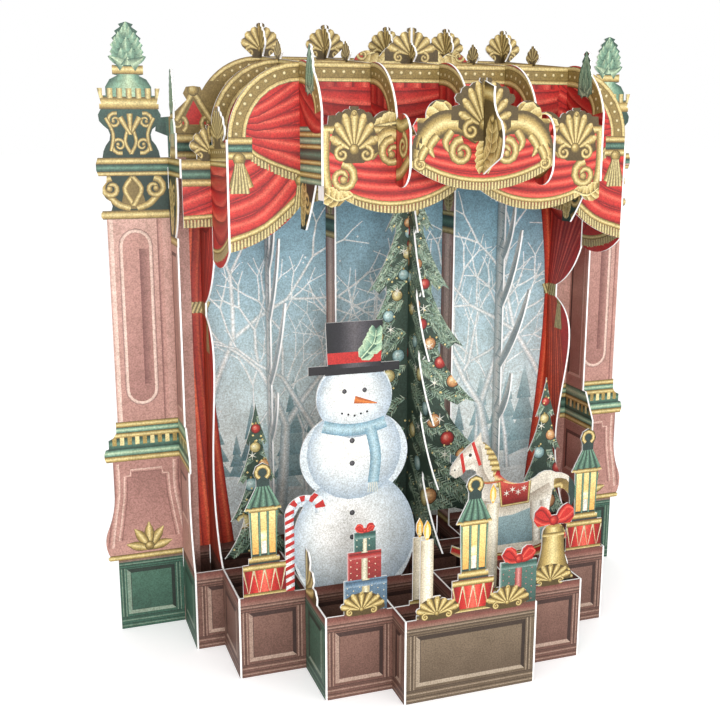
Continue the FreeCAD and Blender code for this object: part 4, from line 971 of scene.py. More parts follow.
def fir_screen():
    art = []
    half = OUTER_X
    rectangle(art, -half, -1, half, COVER, (60, 84, 70))
    drapery(art, half, 123.1, SCREEN_TOP, 3.0)
    arch_band(art, arch_line(3 * U, SHOULDER, SCREEN_TOP, 2.2), 1.55)
    for side in (-1, 1):
        bands(art, side * half, side * 3 * U, [(134, GOLD), (136, GREENS), (138.4, GOLD),
            (141.2, GOLD)])
        shell(art, side * 3 * U, SHOULDER - 0.6, 12.2, 9.6)
        leaf(art, [(side * 2, SCREEN_TOP + 1), (side * 8, SCREEN_TOP + 2.6),
            (side * 14, SCREEN_TOP + 1.4)], 7, 2.2)
        volute(art, side * 14.4, SCREEN_TOP + 1.6, 1.9, 90, -side * 1.2, 0.6)
    rectangle(art, -8, SCREEN_TOP, 8, SCREEN_TOP + 12, GOLD[0])
    shell(art, 0, SCREEN_TOP - 0.6, 14.6, 9.6)
    fir(art, 0, FIR_FOOT, FIR_HEIGHT, 32, 32, 640, 30)
    rectangle(art, -3.4, RAIL, 3.4, 36, (74, 56, 46))
    stroke(art, [(0, RAIL), (0, 36)], 3.0, [(50, 36, 30), (120, 92, 74), (60, 44, 36)])
    for side in (-1, 1):
        fir(art, side * 2.45 * U, RAIL + 4, 46, 10.5, 10.5, 110, 7)
    base(art, -half, half, WOOD, [(-62, -42), (-38, -22), (-18, 18), (22, 38), (42, 62)])
    return art


def stage_valance():
    art = []
    half = 3 * U
    drapery(art, half, SWAG_END, ARCH_TOP, 3.4)
    arch_band(art, arch_line(half, SWAG_END + 28, ARCH_TOP, 2.3), 1.65)
    for side in (-1, 1):
        x0, x1 = side * half, side * (half - 6.4)
        bands(art, x0, x1, [(141.5, GOLD), (143.4, GREENS), (145.2, GOLD), (147.0, GOLD)])
        for k in range(3):
            moulding(art, [(side * (half - 3), 142), (side * (half - 1.2 - 2.2 * k), 134.5)],
                [0.6, 1.1])
        tassel(art, side * (half - 3), 141.6, 8.5, 3.4)
        tassel(art, side * 2 * U, 136.0, 9.0, 3.4)
    return art


def stage_front():
    art = []
    foot = RAIL_FOOT
    rectangle(art, -60, -1, 60, 120, WOOD)
    rocking_horse(art, 1.3 * U, foot + 0.76)
    snowman(art, -1.25 * U, foot)
    cane(art, -2.24 * U, foot, 28.0)
    for side in (-1, 1):
        lantern(art, side * 2.62 * U, foot)
    base(art, -3 * U, 3 * U, WOOD, [(-54.5, -41), (-35.5, -22), (-15, 15), (22, 35.5), (41, 54.5)])
    return art


def pit_valance():
    art = []
    half = 2 * U
    rectangle(art, -half - 1, 120, half + 1, 160, REDS[1])
    for side in (-1, 1):
        for k in range(7):
            line = sagging(side * (half + 1), 136.4 + 2.3 * k, 0, 137.4 + 2.3 * k, 4.6 - 0.5 * k)
            stroke(art, line, 1.35, PLEAT[::side])
        line = arc_through((side * 1.76 * U, PIT_FOOT + 3.1), (side * 0.95 * U, PIT_FOOT - 0.3),
            (side * 0.16 * U, PIT_FOOT + 5.1), 12)
        fringe(art, line, 2.8)
        rectangle(art, 0, PIT_TOP - 1.6, side * (half + 1), PIT_TOP + 9, GOLD[0])
        leaf(art, [(side * 1.3 * U, PIT_TOP - 1.4), (side * 0.8 * U, PIT_TOP),
            (side * 0.1 * U, PIT_TOP - 0.6)], 9, 2.0)
        moulding(art, [(side * 0.05 * U, PIT_TOP - 2.2), (side * half, PIT_TOP - 2.2)], 1.0)
        arm = curve([(side * 1.36 * U, PIT_TOP - 9), (side * 1.16 * U, PIT_TOP - 3.4),
            (side * 0.84 * U, PIT_TOP - 4.4)], 10)
        moulding(art, arm, [0.8 + 0.9 * math.sin(math.pi * i / len(arm)) for i in range(len(arm))])
        volute(art, side * 1.06 * U, PIT_TOP - 7.6, 3.3, 90, side * -1.4, 1.1)
        volute(art, side * 1.74 * U, PIT_FOOT + 6.0, 3.4, 90, side * 1.4, 1.2)
        gilt(art, [(side * 1.96 * U, PIT_FOOT + 17), (side * 1.97 * U, PIT_FOOT + 8),
            (side * 1.9 * U, PIT_FOOT + 1)], 1.2)
        leaf(art, [(side * 1.6 * U, PIT_FOOT + 1.8), (side * 1.8 * U, PIT_FOOT + 0.6),
            (side * 1.97 * U, PIT_FOOT + 2.4)], 6, 1.9)
        shell(art, side * 1.58 * U, PIT_TOP - 10.0, 11.8, 12.4, 7)
        tassel(art, side * 0.1 * U, PIT_FOOT + 12, 8, 3.0)
    return art


def pit_front():
    art = []
    foot = RAIL_FOOT
    rectangle(art, -50, -1, 50, 90, WOOD)
    w = 12.0
    x = -1.42 * U
    gift(art, x - 0.28 * w, foot + 1.4 * w, x + 0.24 * w, foot + 1.96 * w, (60, 106, 96),
        (240, 226, 180))
    rectangle(art, x - 0.5 * w, foot + 1.95 * w, x + 0.46 * w, foot + 2.5 * w, REDS[1])
    bow(art, x - 0.02 * w, foot + 1.95 * w, 2.3, REDS)
    gift(art, x - 0.42 * w, foot + 0.8 * w, x + 0.36 * w, foot + 1.5 * w, (176, 46, 42),
        (240, 226, 180))
    gift(art, x - 0.5 * w, foot, x + 0.5 * w, foot + 0.85 * w, (92, 124, 150), (236, 214, 150))
    bell(art, 1.5 * U, foot)
    candle(art, -0.62 * U, foot, 25.2)
    candle(art, 0.5 * U, foot, 32.2)
    base(art, -2 * U, 2 * U, WOOD, [(-35.5, -22), (-15, 15), (22, 35.5)])
    for side in (-1, 1):
        shell(art, side * 1.48 * U, foot, 12.6, 6.6, 7)
    return art


def crest_valance():
    art = []
    rectangle(art, -U, 130, U, 170, REDS[1])
    foot_line = arc_through((-U, 140.2), (0, 134.5), (U, 140.2), 14)
    for k in range(5):
        line = sagging(-U, 141.8 + 1.9 * k, U, 141.8 + 1.9 * k, 4.6 - 0.7 * k)
        stroke(art, line, 1.15, PLEAT)
    fringe(art, [(x, z + 2.4) for x, z in foot_line], 2.8, 0.85)
    for side in (-1, 1):
        arm = curve([(side * x, z) for x, z in ((1.5, 146.5), (6, 150), (11, 150.2), (15.4, 146.8),
            (17.4, 141.6))], 16)
        crown = [(x, z + 9) for x, z in reversed(arm)]
        fill(art, arm + crown, GOLD[0])
        leaf(art, [(side * 4, 150.6), (side * 9.5, 152.6), (side * 15.6, 150)], 7, 2.3)
        wide = [1.1 + 1.3 * math.sin(math.pi * i / len(arm)) for i in range(len(arm))]
        stroke(art, arm, [1.25 * w for w in wide], [GOLD[0], GOLD[0]])
        stroke(art, arm, wide, [GOLD[0], GOLD[1], GOLD[2], GOLD[3], GOLD[0]])
        for x, z, lean in ((8.6, 148.6, 1.6), (12.2, 147.4, 2.0), (15.0, 144.8, 1.4)):
            drop = curve([(side * x, z), (side * (x + lean), z - 2.6),
                (side * (x + 0.4 * lean), z - 5.0)], 6)
            moulding(art, drop, [1.0, 1.1, 1.1, 1.0, 0.8, 0.5, 0.2])
        volute(art, side * 5.8, 143.6, 3.1, 90, side * -1.4, 1.1)
        volute(art, side * 16.4, 140.9, 1.7, 60 if side > 0 else 120, side * -1.2, 0.6)
    leaf(art, [(0, 147), (0, 143), (0, 139.2)], 6, 1.7)
    rectangle(art, -8.8, 151, 8.8, 170, GOLD[0])
    shell(art, 0, 146.2, 13.4, 14.6, 9)
    return art


def box_front():
    art = []
    foot = RAIL_FOOT
    rectangle(art, -25, -1, 25, 80, BOX_WOOD)
    lantern(art, 0, foot)
    candle(art, -0.7 * U, foot, 28.0)
    x = 0.7 * U
    gift(art, x - 5.4, foot, x + 5.4, foot + 13.2, (70, 110, 98), (196, 60, 50))
    block(art, x, 6, foot + 13.2, foot + 19, REDS[1])
    bow(art, x, foot + 13.2, 4.6, REDS)
    base(art, -U, U, BOX_WOOD, [(-16, 16)])
    for side in (-1, 1):
        shell(art, side * 0.54 * U, foot, 12.6, 6.6, 7)
    return art


# Ribs are drawn with depth across.
def rib_base(art, front, face):
    """The foot of a rib, with a panel in each bay of the lattice behind its front edge."""
    lines = [y for y in (Y_BOX, Y_PIT, Y_STAGE, Y_FIR, Y_BACK) if y >= front]
    insets = [2.4 if y == Y_BOX else 3 for y in lines]
    if len(lines) == 2:
        insets = [3.4]
    spans = [(y0 + inset, y1 - inset) for y0, y1, inset in zip(lines, lines[1:], insets)]
    base(art, front - 1, Y_BACK, face, spans)
    rectangle(art, Y_BACK, 0, Y_TAIL + 1, RAIL, mix(face, WOOD, 0.5))


def beam_drapery(art):
    """Red cloth and gold mouldings along the top of a rib."""
    top = [(Y_STAGE, ARCH_TOP), (Y_FIR, SCREEN_TOP), (Y_BACK, BACK_TOP), (Y_TAIL, BACK_TOP)]
    rectangle(art, Y_STAGE - 2, BEAM_FOOT - 1, Y_TAIL + 1, BACK_TOP + 2, REDS[1])
    drape(art, [row_of_points(Y_STAGE, 166, Y_TAIL, 169, 8),
        row_of_points(Y_STAGE, BEAM_FOOT, Y_TAIL, BEAM_FOOT, 8)], REDS)
    for start, end in ((Y_STAGE, Y_FIR), (Y_FIR, Y_BACK)):
        swag(art, (start, 158), (end, 158), 16, 5, 4)
        fringe(art, sagging(start, BEAM_FOOT + 4.6, end, BEAM_FOOT + 4.6, 1.0), 2.8)
    rectangle(art, Y_BACK, BEAM_FOOT + 15, Y_TAIL + 1, BACK_TOP - 4, mix(REDS[0], REDS[1], 0.5))
    line = [(y, z - 2.2) for y, z in top]
    arch_band(art, line, 1.6)
    shell(art, Y_BACK, BACK_TOP - 0.6, 12.2, 9.6)
    shell(art, Y_FIR, SCREEN_TOP - 0.6, 8.4, 5.6, 5)


def front_arch(art, front, level):
    """The gold quarter arch from the stage valance down to a rib's front edge."""
    rise = ARCH_TOP - level
    run = Y_STAGE - front
    line = []
    for k in range(11):
        angle = math.pi / 2 * (1 - k / 10)
        line.append((Y_STAGE - (run - 2.6) * math.cos(angle), level + (rise - 2.6) * math.sin(angle)))
    arch_band(art, line, 1.8)


def pillar_top(art, axis, foot, width):
    stroke(art, [(axis, foot + 3), (axis, foot + 12.3)], width, MINTS)
    bands(art, axis - width, axis + width, [(foot, GOLD), (foot + 3.4, GOLD)])
    for k in range(5):
        x = axis + (k - 2) * 0.24 * width
        stroke(art, [(x, foot + 3.2), (x, foot + 6.7)], 0.5, [GOLD[1], GOLD[2], GOLD[0]])
    bands(art, axis - width, axis + width, [(foot + 10.6, GOLD), (foot + 12.3, GOLD)])


def pillar_rib():
    art = []
    front = Y_FIR
    shaft = Y_BACK - 11.2
    rectangle(art, front - 10, -1, Y_TAIL + 1, COVER, mix(PINK, PINK_LIGHT, 0.2))
    rectangle(art, front - 1, 24, Y_BACK, 53, fade(PINK, mix(PINK, PINK_DARK, 0.3), 24, 53))
    stroke(art, curve([(front + 1.2, 25), (shaft - 3.6, 35), (shaft - 3.4, 52)]), 0.9,
        [PINK_LIGHT, PINK, PINK_DARK])
    panel(art, shaft - 1.4, 36, Y_BACK - 2, 50, PINK, 1.0)
    bands(art, front, Y_BACK, [(53.2, GOLD), (55.0, MINTS), (57.0, GREENS), (60.4, GOLD),
        (62.0, MINTS), (65.3, MINTS)])
    for k in range(7):
        y = shaft - 5 + 2.4 * k
        block(art, y, 0.6, 58.2, 60.6, GOLD[2] if k % 2 else GOLD[1])
    rectangle(art, shaft - 1, 65.3, Y_BACK, 119, fade(mix(PINK, PINK_DARK, 0.15),
        mix(PINK, PINK_LIGHT, 0.35), 65, 119))
    panel(art, shaft + 1.8, 69, Y_BACK - 1.4, 115, PINK, 0.9)
    stroke(art, [(shaft + 0.4, 65.3), (shaft + 0.4, 117)], 0.45, [PINK_LIGHT, PINK])
    rectangle(art, front - 6, 117, Y_BACK, 136.2, GREENS[0])
    bands(art, shaft - 1, Y_BACK, [(117, GOLD), (119.4, GOLD)])
    gilt(art, [(shaft + 2.4, 120), (shaft - 1.5, 126), (shaft - 2.0, 131), (shaft - 2.4, 135.6)], 1.0)
    volute(art, shaft + 2.2, 130.6, 3.0, 120, -1.4, 0.9)
    leaf(art, [(shaft + 7, 120), (shaft + 6, 127), (shaft + 8.4, 134)], 8, 2.2)
    bands(art, front - 1, Y_BACK, [(136.2, GOLD), (137.6, GREENS), (139.4, GOLD), (141.2, GOLD)])
    axis = (front - CARD / 2 + Y_BACK) / 2
    rectangle(art, front - 10, 141.2, Y_TAIL + 1, COVER, MINTS[0])
    pillar_top(art, axis, SHOULDER - 0.2, 5.0)
    pineapple(art, axis, SHOULDER + 12.2, 7.0, 11.4)
    rectangle(art, Y_BACK, 100, Y_TAIL + 1, 150, WOOD)
    rib_base(art, front, BASE_GREEN)
    return art


def curtain_rib():
    art = []
    front = Y_STAGE
    rectangle(art, front - 1, -1, Y_TAIL + 1, COVER, REDS[1])
    tops = row_of_points(Y_BACK, 146, front, 146, 9)
    ties = row_of_points(Y_BACK, TIE, Y_BACK - 5.8, TIE, 9)
    feet = row_of_points(Y_BACK, RAIL, Y_BACK - 20, RAIL, 9)
    drape(art, [tops, ties], REDS)
    drape(art, [ties, row_of_points(Y_BACK, 74, Y_BACK - 12.5, 74, 9), feet], DEEP_REDS)
    swag(art, (front, 141), (Y_FIR, 141), 17, 3.5, 5)
    swag(art, (Y_FIR, 141), (Y_BACK, 139), 15, 3.0, 4)
    fringe(art, sagging(front, SWAG_END + 3.4, Y_FIR, SWAG_END - 1.4, 1.6), 3.0)
    tie(art, Y_BACK - 6.2, Y_BACK, TIE, 1.9)
    tassel(art, Y_BACK - 8.0, TIE - 3.0, 9.0, 3.2)
    gilt(art, [(Y_BACK - 6, TIE), (Y_BACK - 8, TIE - 1), (Y_BACK - 8.0, TIE - 3)], 0.4, 5)
    arch_band(art, [(front, 143.4), (Y_FIR, 142.8), (Y_TAIL, 142.8)], 1.6)
    moulding(art, [(front, 140.2), (Y_TAIL, 139.9)], 0.7)
    shell(art, (front + Y_FIR) / 2, 144.0, 18.4, 10.6, 9)
    rib_base(art, front, WOOD)
    return art


def branch_rib():
    art = []
    front = Y_PIT
    rectangle(art, front - 1, -1, Y_TAIL + 1, COVER, WOOD)
    rectangle(art, Y_FIR - 8, RAIL, Y_BACK, 134, (186, 202, 208))
    trunk = Y_BACK - 0.7 - 2.5
    stroke(art, [(trunk, RAIL), (trunk + 0.3, 80), (trunk, 134)], 2.8, BARKS)
    room = 132.0 - RAIL
    for level, rise, reach in ((0.30, 0.16, 0.6), (0.46, 0.26, 1.1), (0.64, 0.24, 0.8),
            (0.78, 0.16, 0.55)):
        low = RAIL + level * room + 2
        stroke(art, curve([(trunk, low), (trunk - 0.5 * reach * 20, low + 0.5 * rise * room),
            (trunk - reach * 20, low + rise * room)]), 2.2, [BARKS[0], BARKS[2], BARKS[0]])
    for k in range(40):
        z = RAIL + 2 + k * 2.7
        stroke(art, [(trunk - 2.2, z), (trunk + random.uniform(-1, 2), z + 0.6)], [0.22, 0.05],
            [BARKS[0], (140, 158, 166)])
    beam_drapery(art)
    rectangle(art, front - 2, 119, Y_STAGE, 135.8, GREENS[0])
    gilt(art, [(Y_STAGE - 5.2, 125), (Y_STAGE - 11, 128.5), (Y_STAGE - 14.5, 134.8)], 1.1)
    volute(art, Y_STAGE - 6.4, 131.2, 3.0, 180, 1.4, 0.9)
    leaf(art, [(Y_STAGE - 2.4, 124.8), (Y_STAGE - 2.4, 130), (Y_STAGE - 3.8, 135)], 7, 1.8)
    rectangle(art, front - 2, 135.6, Y_STAGE, 170, REDS[1])
    bands(art, front - 1, Y_STAGE, [(135.6, MINTS), (137.2, GOLD), (138.6, MINTS), (140.4, GOLD),
        (141.6, GREENS), (144.2, GOLD), (145.4, MINTS), (147.0, GOLD), (148.4, MINTS), (149.6, MINTS)])
    swag(art, (front, 156), (Y_STAGE, 164), 8, 2, 3)
    front_arch(art, front - CARD / 2, PIT_TOP + 1.86)
    axis = (front - CARD / 2 + Y_STAGE) / 2
    pineapple(art, axis, ARCH_TOP - 7.8, 7.0, 11.4)
    rib_base(art, front, BASE_GREEN)
    foot = RAIL_FOOT
    rectangle(art, Y_STAGE - 12, foot, Y_STAGE, foot + 13.4, GOLD[0])
    for k in range(4):
        angle = math.radians(96 + 22 * k)
        size = 12.6 - 1.2 * k
        gilt(art, [(Y_STAGE - 0.8, foot + 0.6), (Y_STAGE - 0.8 + 0.6 * size * math.cos(angle),
            foot + 0.6 + 0.5 * size * math.sin(angle)),
            (Y_STAGE - 0.8 + 0.85 * size * math.cos(angle), foot + 0.6 + size * math.sin(angle))],
            [0.8, 1.0, 1.3, 1.5, 1.5, 1.2, 0.6], 6)
    return art


def scroll_front(art):
    """Gold scrolls and red cloth in front of the stage valance."""
    rectangle(art, Y_BOX - 2, SCROLL_FOOT - 12, Y_STAGE, 170, REDS[1])
    drape(art, [row_of_points(Y_BOX, 158, Y_STAGE, 166, 6),
        row_of_points(Y_BOX, SCROLL_FOOT - 4, Y_STAGE, SCROLL_FOOT - 6, 6)], REDS)
    swag(art, (Y_PIT, 152), (Y_STAGE, 156), 11, 3, 4)
    fringe(art, sagging(Y_PIT, SCROLL_FOOT + 3.2, Y_STAGE, SCROLL_FOOT + 1.0, 1.4), 2.8)
    volute(art, Y_PIT + 5.6, 145.4, 3.4, 150, -1.4, 1.0)
    leaf(art, [(Y_PIT + 3, 141), (Y_PIT + 9, 139.4), (Y_PIT + 14, 143)], 7, 2.0)


def post_rib():
    art = []
    front = Y_BOX
    rectangle(art, front - 1, -1, Y_TAIL + 1, COVER, WOOD)
    rectangle(art, POST - 5, RAIL, Y_BACK, 134, PINK)
    stroke(art, [(POST, RAIL), (POST, 134)], 4.4, PINKS)
    stroke(art, [(POST - 2.2, RAIL + 4), (POST - 2.2, 114)], 0.5, [PINK_DARK, PINK_LIGHT])
    stroke(art, [(POST + 2.2, RAIL + 4), (POST + 2.2, 114)], 0.5, [PINK_DARK, PINK_LIGHT])
    bands(art, POST - 5, POST + 5, [(RAIL, GOLD), (RAIL + 2.4, PINKS), (RAIL + 5, GOLD),
        (RAIL + 6.4, GOLD)])
    bands(art, POST - 5, POST + 5, [(117.5, GOLD), (119.6, GREENS), (123.0, GOLD), (124.6, GOLD)])
    leaf(art, [(POST, 124.6), (POST, 128), (POST, 131)], 6, 3.2)
    beam_drapery(art)
    scroll_front(art)
    gilt(art, [(front, 151), (front + 5, 149.6), (Y_PIT, 150.6)], 1.5)
    gilt(art, [(front, 142), (front + 5, 138.8), (Y_PIT, 138)], 1.5)
    volute(art, front + 4.2, 145, 3.0, 90, 1.5, 1.0)
    front_arch(art, Y_PIT, PIT_TOP)
    rib_base(art, front, WOOD)
    return art


def fir_rib():
    art = []
    front = Y_BOX
    rectangle(art, front - 12, -1, Y_TAIL + 1, COVER, (44, 62, 52))
    rectangle(art, POST - 4.5, RAIL, Y_BACK, 134, BARKS[1])
    stroke(art, [(POST, RAIL), (POST, 134)], 4.4, BARKS)
    beam_drapery(art)
    scroll_front(art)
    fir(art, Y_FIR, FIR_FOOT, FIR_HEIGHT, 29, 10, 420, 20)
    block(art, Y_FIR, 3.4, RAIL, 36, (74, 56, 46))
    rectangle(art, Y_STAGE - 0.2, 134.5, Y_TAIL, 141, REDS[1])
    fringe(art, sagging(Y_STAGE, 137.4, Y_FIR, 137.4, 0.8), 2.8)
    fringe(art, sagging(Y_FIR, 137.4, Y_BACK, 137.4, 0.8), 2.8)
    rectangle(art, front - 12, 130, Y_PIT, 172, GOLD[0])
    gilt(art, [(Y_BOX, 157.6), (Y_BOX - 6.2, 156), (Y_BOX - 9.6, 149)], 1.7)
    gilt(art, [(Y_BOX, 138.4), (Y_BOX - 7, 142), (Y_BOX - 9.6, 147)], 1.5)
    volute(art, Y_BOX - 5.6, 148.2, 3.4, 90, -1.5, 1.1)
    leaf(art, [(Y_BOX, 141), (Y_BOX - 4, 144), (Y_BOX - 5, 150)], 7, 2.2)
    leaf(art, [(Y_BOX + 1, 139), (Y_BOX + 5, 144), (Y_PIT - 1, 152)], 8, 2.6)
    front_arch(art, Y_PIT, PIT_TOP + 2.85)
    rib_base(art, front, WOOD)
    return art


# Printed sides
def outlines(node, across):
    """The closed outlines of a sheet's printed face in millimetres, the outer one first."""
    normal_axis = 1 - across
    low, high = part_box(node)
    face = low[1] if normal_axis == 1 else high[0]
    mesh = frame["nodes"][node].data
    edges = {}
    for polygon in mesh.polygons:
        if abs(polygon.normal[normal_axis]) < 0.99 or abs(polygon.center[normal_axis] - face) > 1e-5:
            continue
        keys = [
            (round(mesh.vertices[v].co[across] * 1000, 3), round(mesh.vertices[v].co[2] * 1000, 3))
            for v in polygon.vertices
        ]
        for first, second in zip(keys, keys[1:] + keys[:1]):
            if (second, first) in edges:
                del edges[(second, first)]
            elif first != second:
                edges[(first, second)] = True
    follow = {}
    for first, second in edges:
        follow.setdefault(first, []).append(second)
    loops = []
    while follow:
        start = next(iter(follow))
        loop = [start]
        here = start
        while here in follow:
            there = follow[here].pop()
            if not follow[here]:
                del follow[here]
            if there == start:
                break
            loop.append(there)
            here = there
        loops.append(loop)
    wide = [loop for loop in loops if abs(signed_area(loop)) > SMALLEST_LOOP]
    return sorted(wide, key=lambda loop: -abs(signed_area(loop)))


def signed_area(loop):
    return sum(a[0] * b[1] - b[0] * a[1] for a, b in zip(loop, loop[1:] + loop[:1])) / 2


def visible_fields(loops, art):
    """Cuts the shapes against each other. Gives points, triangles and the top shape of each triangle."""
    points = []
    faces = []
    shapes = []
    for shape, paint in [(loop, None) for loop in loops] + art:
        ring = list(shape)
        area = signed_area(ring)
        if abs(area) < SMALLEST_SHAPE:
            continue
        if area < 0:
            ring.reverse()
        faces.append(list(range(len(points), len(points) + len(ring))))
        points.extend(Vector(point) for point in ring)
        across = [point[0] for point in ring]
        up = [point[1] for point in ring]
        shapes.append((paint, min(across), max(across), min(up), max(up)))
    holes = set(range(1, len(loops)))
    verts, _, triangles, _, _, origins = delaunay_2d_cdt(points, [], faces, 1, WELD)
    tops = []
    for corners, origin in zip(triangles, origins):
        if 0 not in origin or holes.intersection(origin):
            tops.append(-1)
            continue
        x = sum(verts[corner].x for corner in corners) / 3
        z = sum(verts[corner].y for corner in corners) / 3
        tops.append(max(
            i for i in origin
            if shapes[i][1] <= x <= shapes[i][2] and shapes[i][3] <= z <= shapes[i][4]
        ))
    return verts, triangles, tops, [shape[0] for shape in shapes]


def borders(verts, triangles, tops):
    """The edges between fields, straight runs joined, with the field on each one's left side."""
    left = {}
    for (a, b, c), top in zip(triangles, tops):
        left[(a, b)] = left[(b, c)] = left[(c, a)] = top
    links = {}
    for (a, b), top in left.items():
        if top != left.get((b, a), -1):
            links.setdefault(a, set()).add(b)
            links.setdefault(b, set()).add(a)
    for here in list(links):
        if len(links[here]) != 2:
            continue
        a, b = links[here]
        before, after = verts[here] - verts[a], verts[b] - verts[here]
        bent = abs(before.cross(after)) > STRAIGHT * before.length * after.length
        if b in links[a] or bent or before.dot(after) < 0:
            continue
        links[a].remove(here)
        links[b].remove(here)
        links[a].add(b)
        links[b].add(a)
        left[(a, b)] = left.get((a, here), -1)
        left[(b, a)] = left.get((b, here), -1)
        del links[here]
    return left, links


def planar_map(loops, art):
    """Cuts the drawing to the sheet's outline. Gives points, triangles and the colour of each corner."""
    old, triangles, tops, paints = visible_fields(loops, art)
    left, links = borders(old, triangles, tops)
    used = list(links)
    place = {point: i for i, point in enumerate(used)}
    edges = [(a, b) for a in used for b in links[a] if a < b]
    ends = [(place[a], place[b]) for a, b in edges]
    verts, cuts, triangles, _, origins, _ = delaunay_2d_cdt([old[v] for v in used], ends, [], 0,
        FINE_WELD)
    beside = {}
    for i, (a, b, c) in enumerate(triangles):
        beside[(a, b)] = beside[(b, c)] = beside[(c, a)] = i
    border = set()
    tops = {}
    for (a, b), origin in zip(cuts, origins):
        if not origin:
            continue
        first, last = edges[origin[0]]
        if (verts[b] - verts[a]).dot(old[last] - old[first]) < 0:
            first, last = last, first
        border.update([(a, b), (b, a)])
        for edge, top in (((a, b), left.get((first, last), -1)), ((b, a), left.get((last, first), -1))):
            if edge in beside:
                tops[beside[edge]] = top
    waiting = list(tops)
    while waiting:
        here = waiting.pop()
        a, b, c = triangles[here]
        for edge in ((b, a), (c, b), (a, c)):
            there = beside.get(edge)
            if there is not None and there not in tops and edge not in border:
                tops[there] = tops[here]
                waiting.append(there)
    kept = []
    colours = []
    for i, corners in enumerate(triangles):
        top = tops.get(i, -1)
        if top < 0:
            continue
        paint = paints[top] or CREAM
        kept.append(tuple(corners))
        for corner in corners:
            colours.append(paint(verts[corner]) if callable(paint) else paint)
    return verts, kept, colours


def to_linear(value):
    share = min(1.0, max(0.0, value / 255))
    return share / 12.92 if share <= 0.04045 else ((share + 0.055) / 1.055) ** 2.4


# Linear light for inks from 0 to 255, in quarter steps
LINEAR = [to_linear(k / 4) for k in range(1021)]


def lay(name, drawing, place, flipped, slot, material):
    """Makes one printed side from a cut drawing."""
    verts, triangles, colours = drawing
    mesh = bpy.data.meshes.new(name)
    faces = [t[::-1] for t in triangles] if flipped else triangles
    mesh.from_pydata([place(v) for v in verts], [], faces)
    ink = mesh.color_attributes.new("ink", "FLOAT_COLOR", "CORNER")
    flat = []
    for i in range(0, len(colours), 3):
        corner = colours[i:i + 3]
        for colour in corner[::-1] if flipped else corner:
            flat.extend(LINEAR[int(4 * min(255, max(0, c)))] for c in colour)
            flat.append(1.0)
    ink.data.foreach_set("color", flat)
    mesh.materials.append(material)
    piece = bpy.data.objects.new(name, mesh)
    bpy.context.scene.collection.objects.link(piece)
    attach(piece, "root")


# Materials
def new_material(name):
    material = bpy.data.materials.new(name)
    material.use_nodes = True
    nodes = material.node_tree.nodes
    nodes.clear()
    output = nodes.new("ShaderNodeOutputMaterial")
    shader = nodes.new("ShaderNodeBsdfPrincipled")
    material.node_tree.links.new(shader.outputs["BSDF"], output.inputs["Surface"])
    return material, nodes, material.node_tree.links, shader


def noise(nodes, links, coordinates, scale, detail):
    texture = nodes.new("ShaderNodeTexNoise")
    texture.inputs["Scale"].default_value = scale
    texture.inputs["Detail"].default_value = detail
    links.new(coordinates.outputs["Object"], texture.inputs["Vector"])
    return texture


def ramp(nodes, links, source, low, high, dark, light):
    """A colour that runs from dark to light between two values of a texture."""
    made = nodes.new("ShaderNodeValToRGB")
    made.color_ramp.elements[0].position = low
    made.color_ramp.elements[0].color = (*dark, 1)
    made.color_ramp.elements[1].position = high
    made.color_ramp.elements[1].color = (*light, 1)
    links.new(source, made.inputs["Fac"])
    return made


def multiply(nodes, links, first, second, share):
    made = nodes.new("ShaderNodeMix")
    made.data_type = "RGBA"
    made.blend_type = "MULTIPLY"
    made.inputs["Factor"].default_value = share
    links.new(first, made.inputs["A"])
    links.new(second, made.inputs["B"])
    return made.outputs["Result"]


def paper_bump(nodes, links, source, shader, strength):
    bump = nodes.new("ShaderNodeBump")
    bump.inputs["Strength"].default_value = strength
    bump.inputs["Distance"].default_value = 0.00005
    links.new(source, bump.inputs["Height"])
    links.new(bump.outputs["Normal"], shader.inputs["Normal"])


def printed_material(name, grain):
    """Ink on coated card: the drawing with antique speckle, mottling and fine cracks."""
    material, nodes, links, shader = new_material(name)
    coordinates = nodes.new("ShaderNodeTexCoord")
    ink = nodes.new("ShaderNodeVertexColor")
    ink.layer_name = "ink"
    speckle = noise(nodes, links, coordinates, 2600, 3)
    mottle = noise(nodes, links, coordinates, 260, 4)
    cracks = nodes.new("ShaderNodeTexVoronoi")
    cracks.feature = "DISTANCE_TO_EDGE"
    cracks.inputs["Scale"].default_value = 150
    bent = noise(nodes, links, coordinates, 420, 3)
    shifted = nodes.new("ShaderNodeVectorMath")
    shifted.operation = "MULTIPLY_ADD"
    shifted.inputs[1].default_value = (0.006, 0.006, 0.006)
    links.new(bent.outputs["Color"], shifted.inputs[0])
    links.new(coordinates.outputs["Object"], shifted.inputs[2])
    links.new(shifted.outputs["Vector"], cracks.inputs["Vector"])
    dots = ramp(nodes, links, speckle.outputs["Fac"], 0.36, 0.62,
        (0.62 * grain, 0.60 * grain, 0.57 * grain), (1, 1, 1))
    cloud = ramp(nodes, links, mottle.outputs["Fac"], 0.3, 0.7, (0.80, 0.79, 0.77), (1, 1, 1))
    lines = ramp(nodes, links, cracks.outputs["Distance"], 0.0, 0.035, (0.72, 0.70, 0.66), (1, 1, 1))
    colour = multiply(nodes, links, ink.outputs["Color"], dots.outputs["Color"], 0.9)
    colour = multiply(nodes, links, colour, cloud.outputs["Color"], 0.75)
    colour = multiply(nodes, links, colour, lines.outputs["Color"], 0.5)
    links.new(colour, shader.inputs["Base Color"])
    shader.inputs["Roughness"].default_value = 0.46
    shader.inputs["Specular IOR Level"].default_value = 0.35
    paper_bump(nodes, links, speckle.outputs["Fac"], shader, 0.25)
    return material


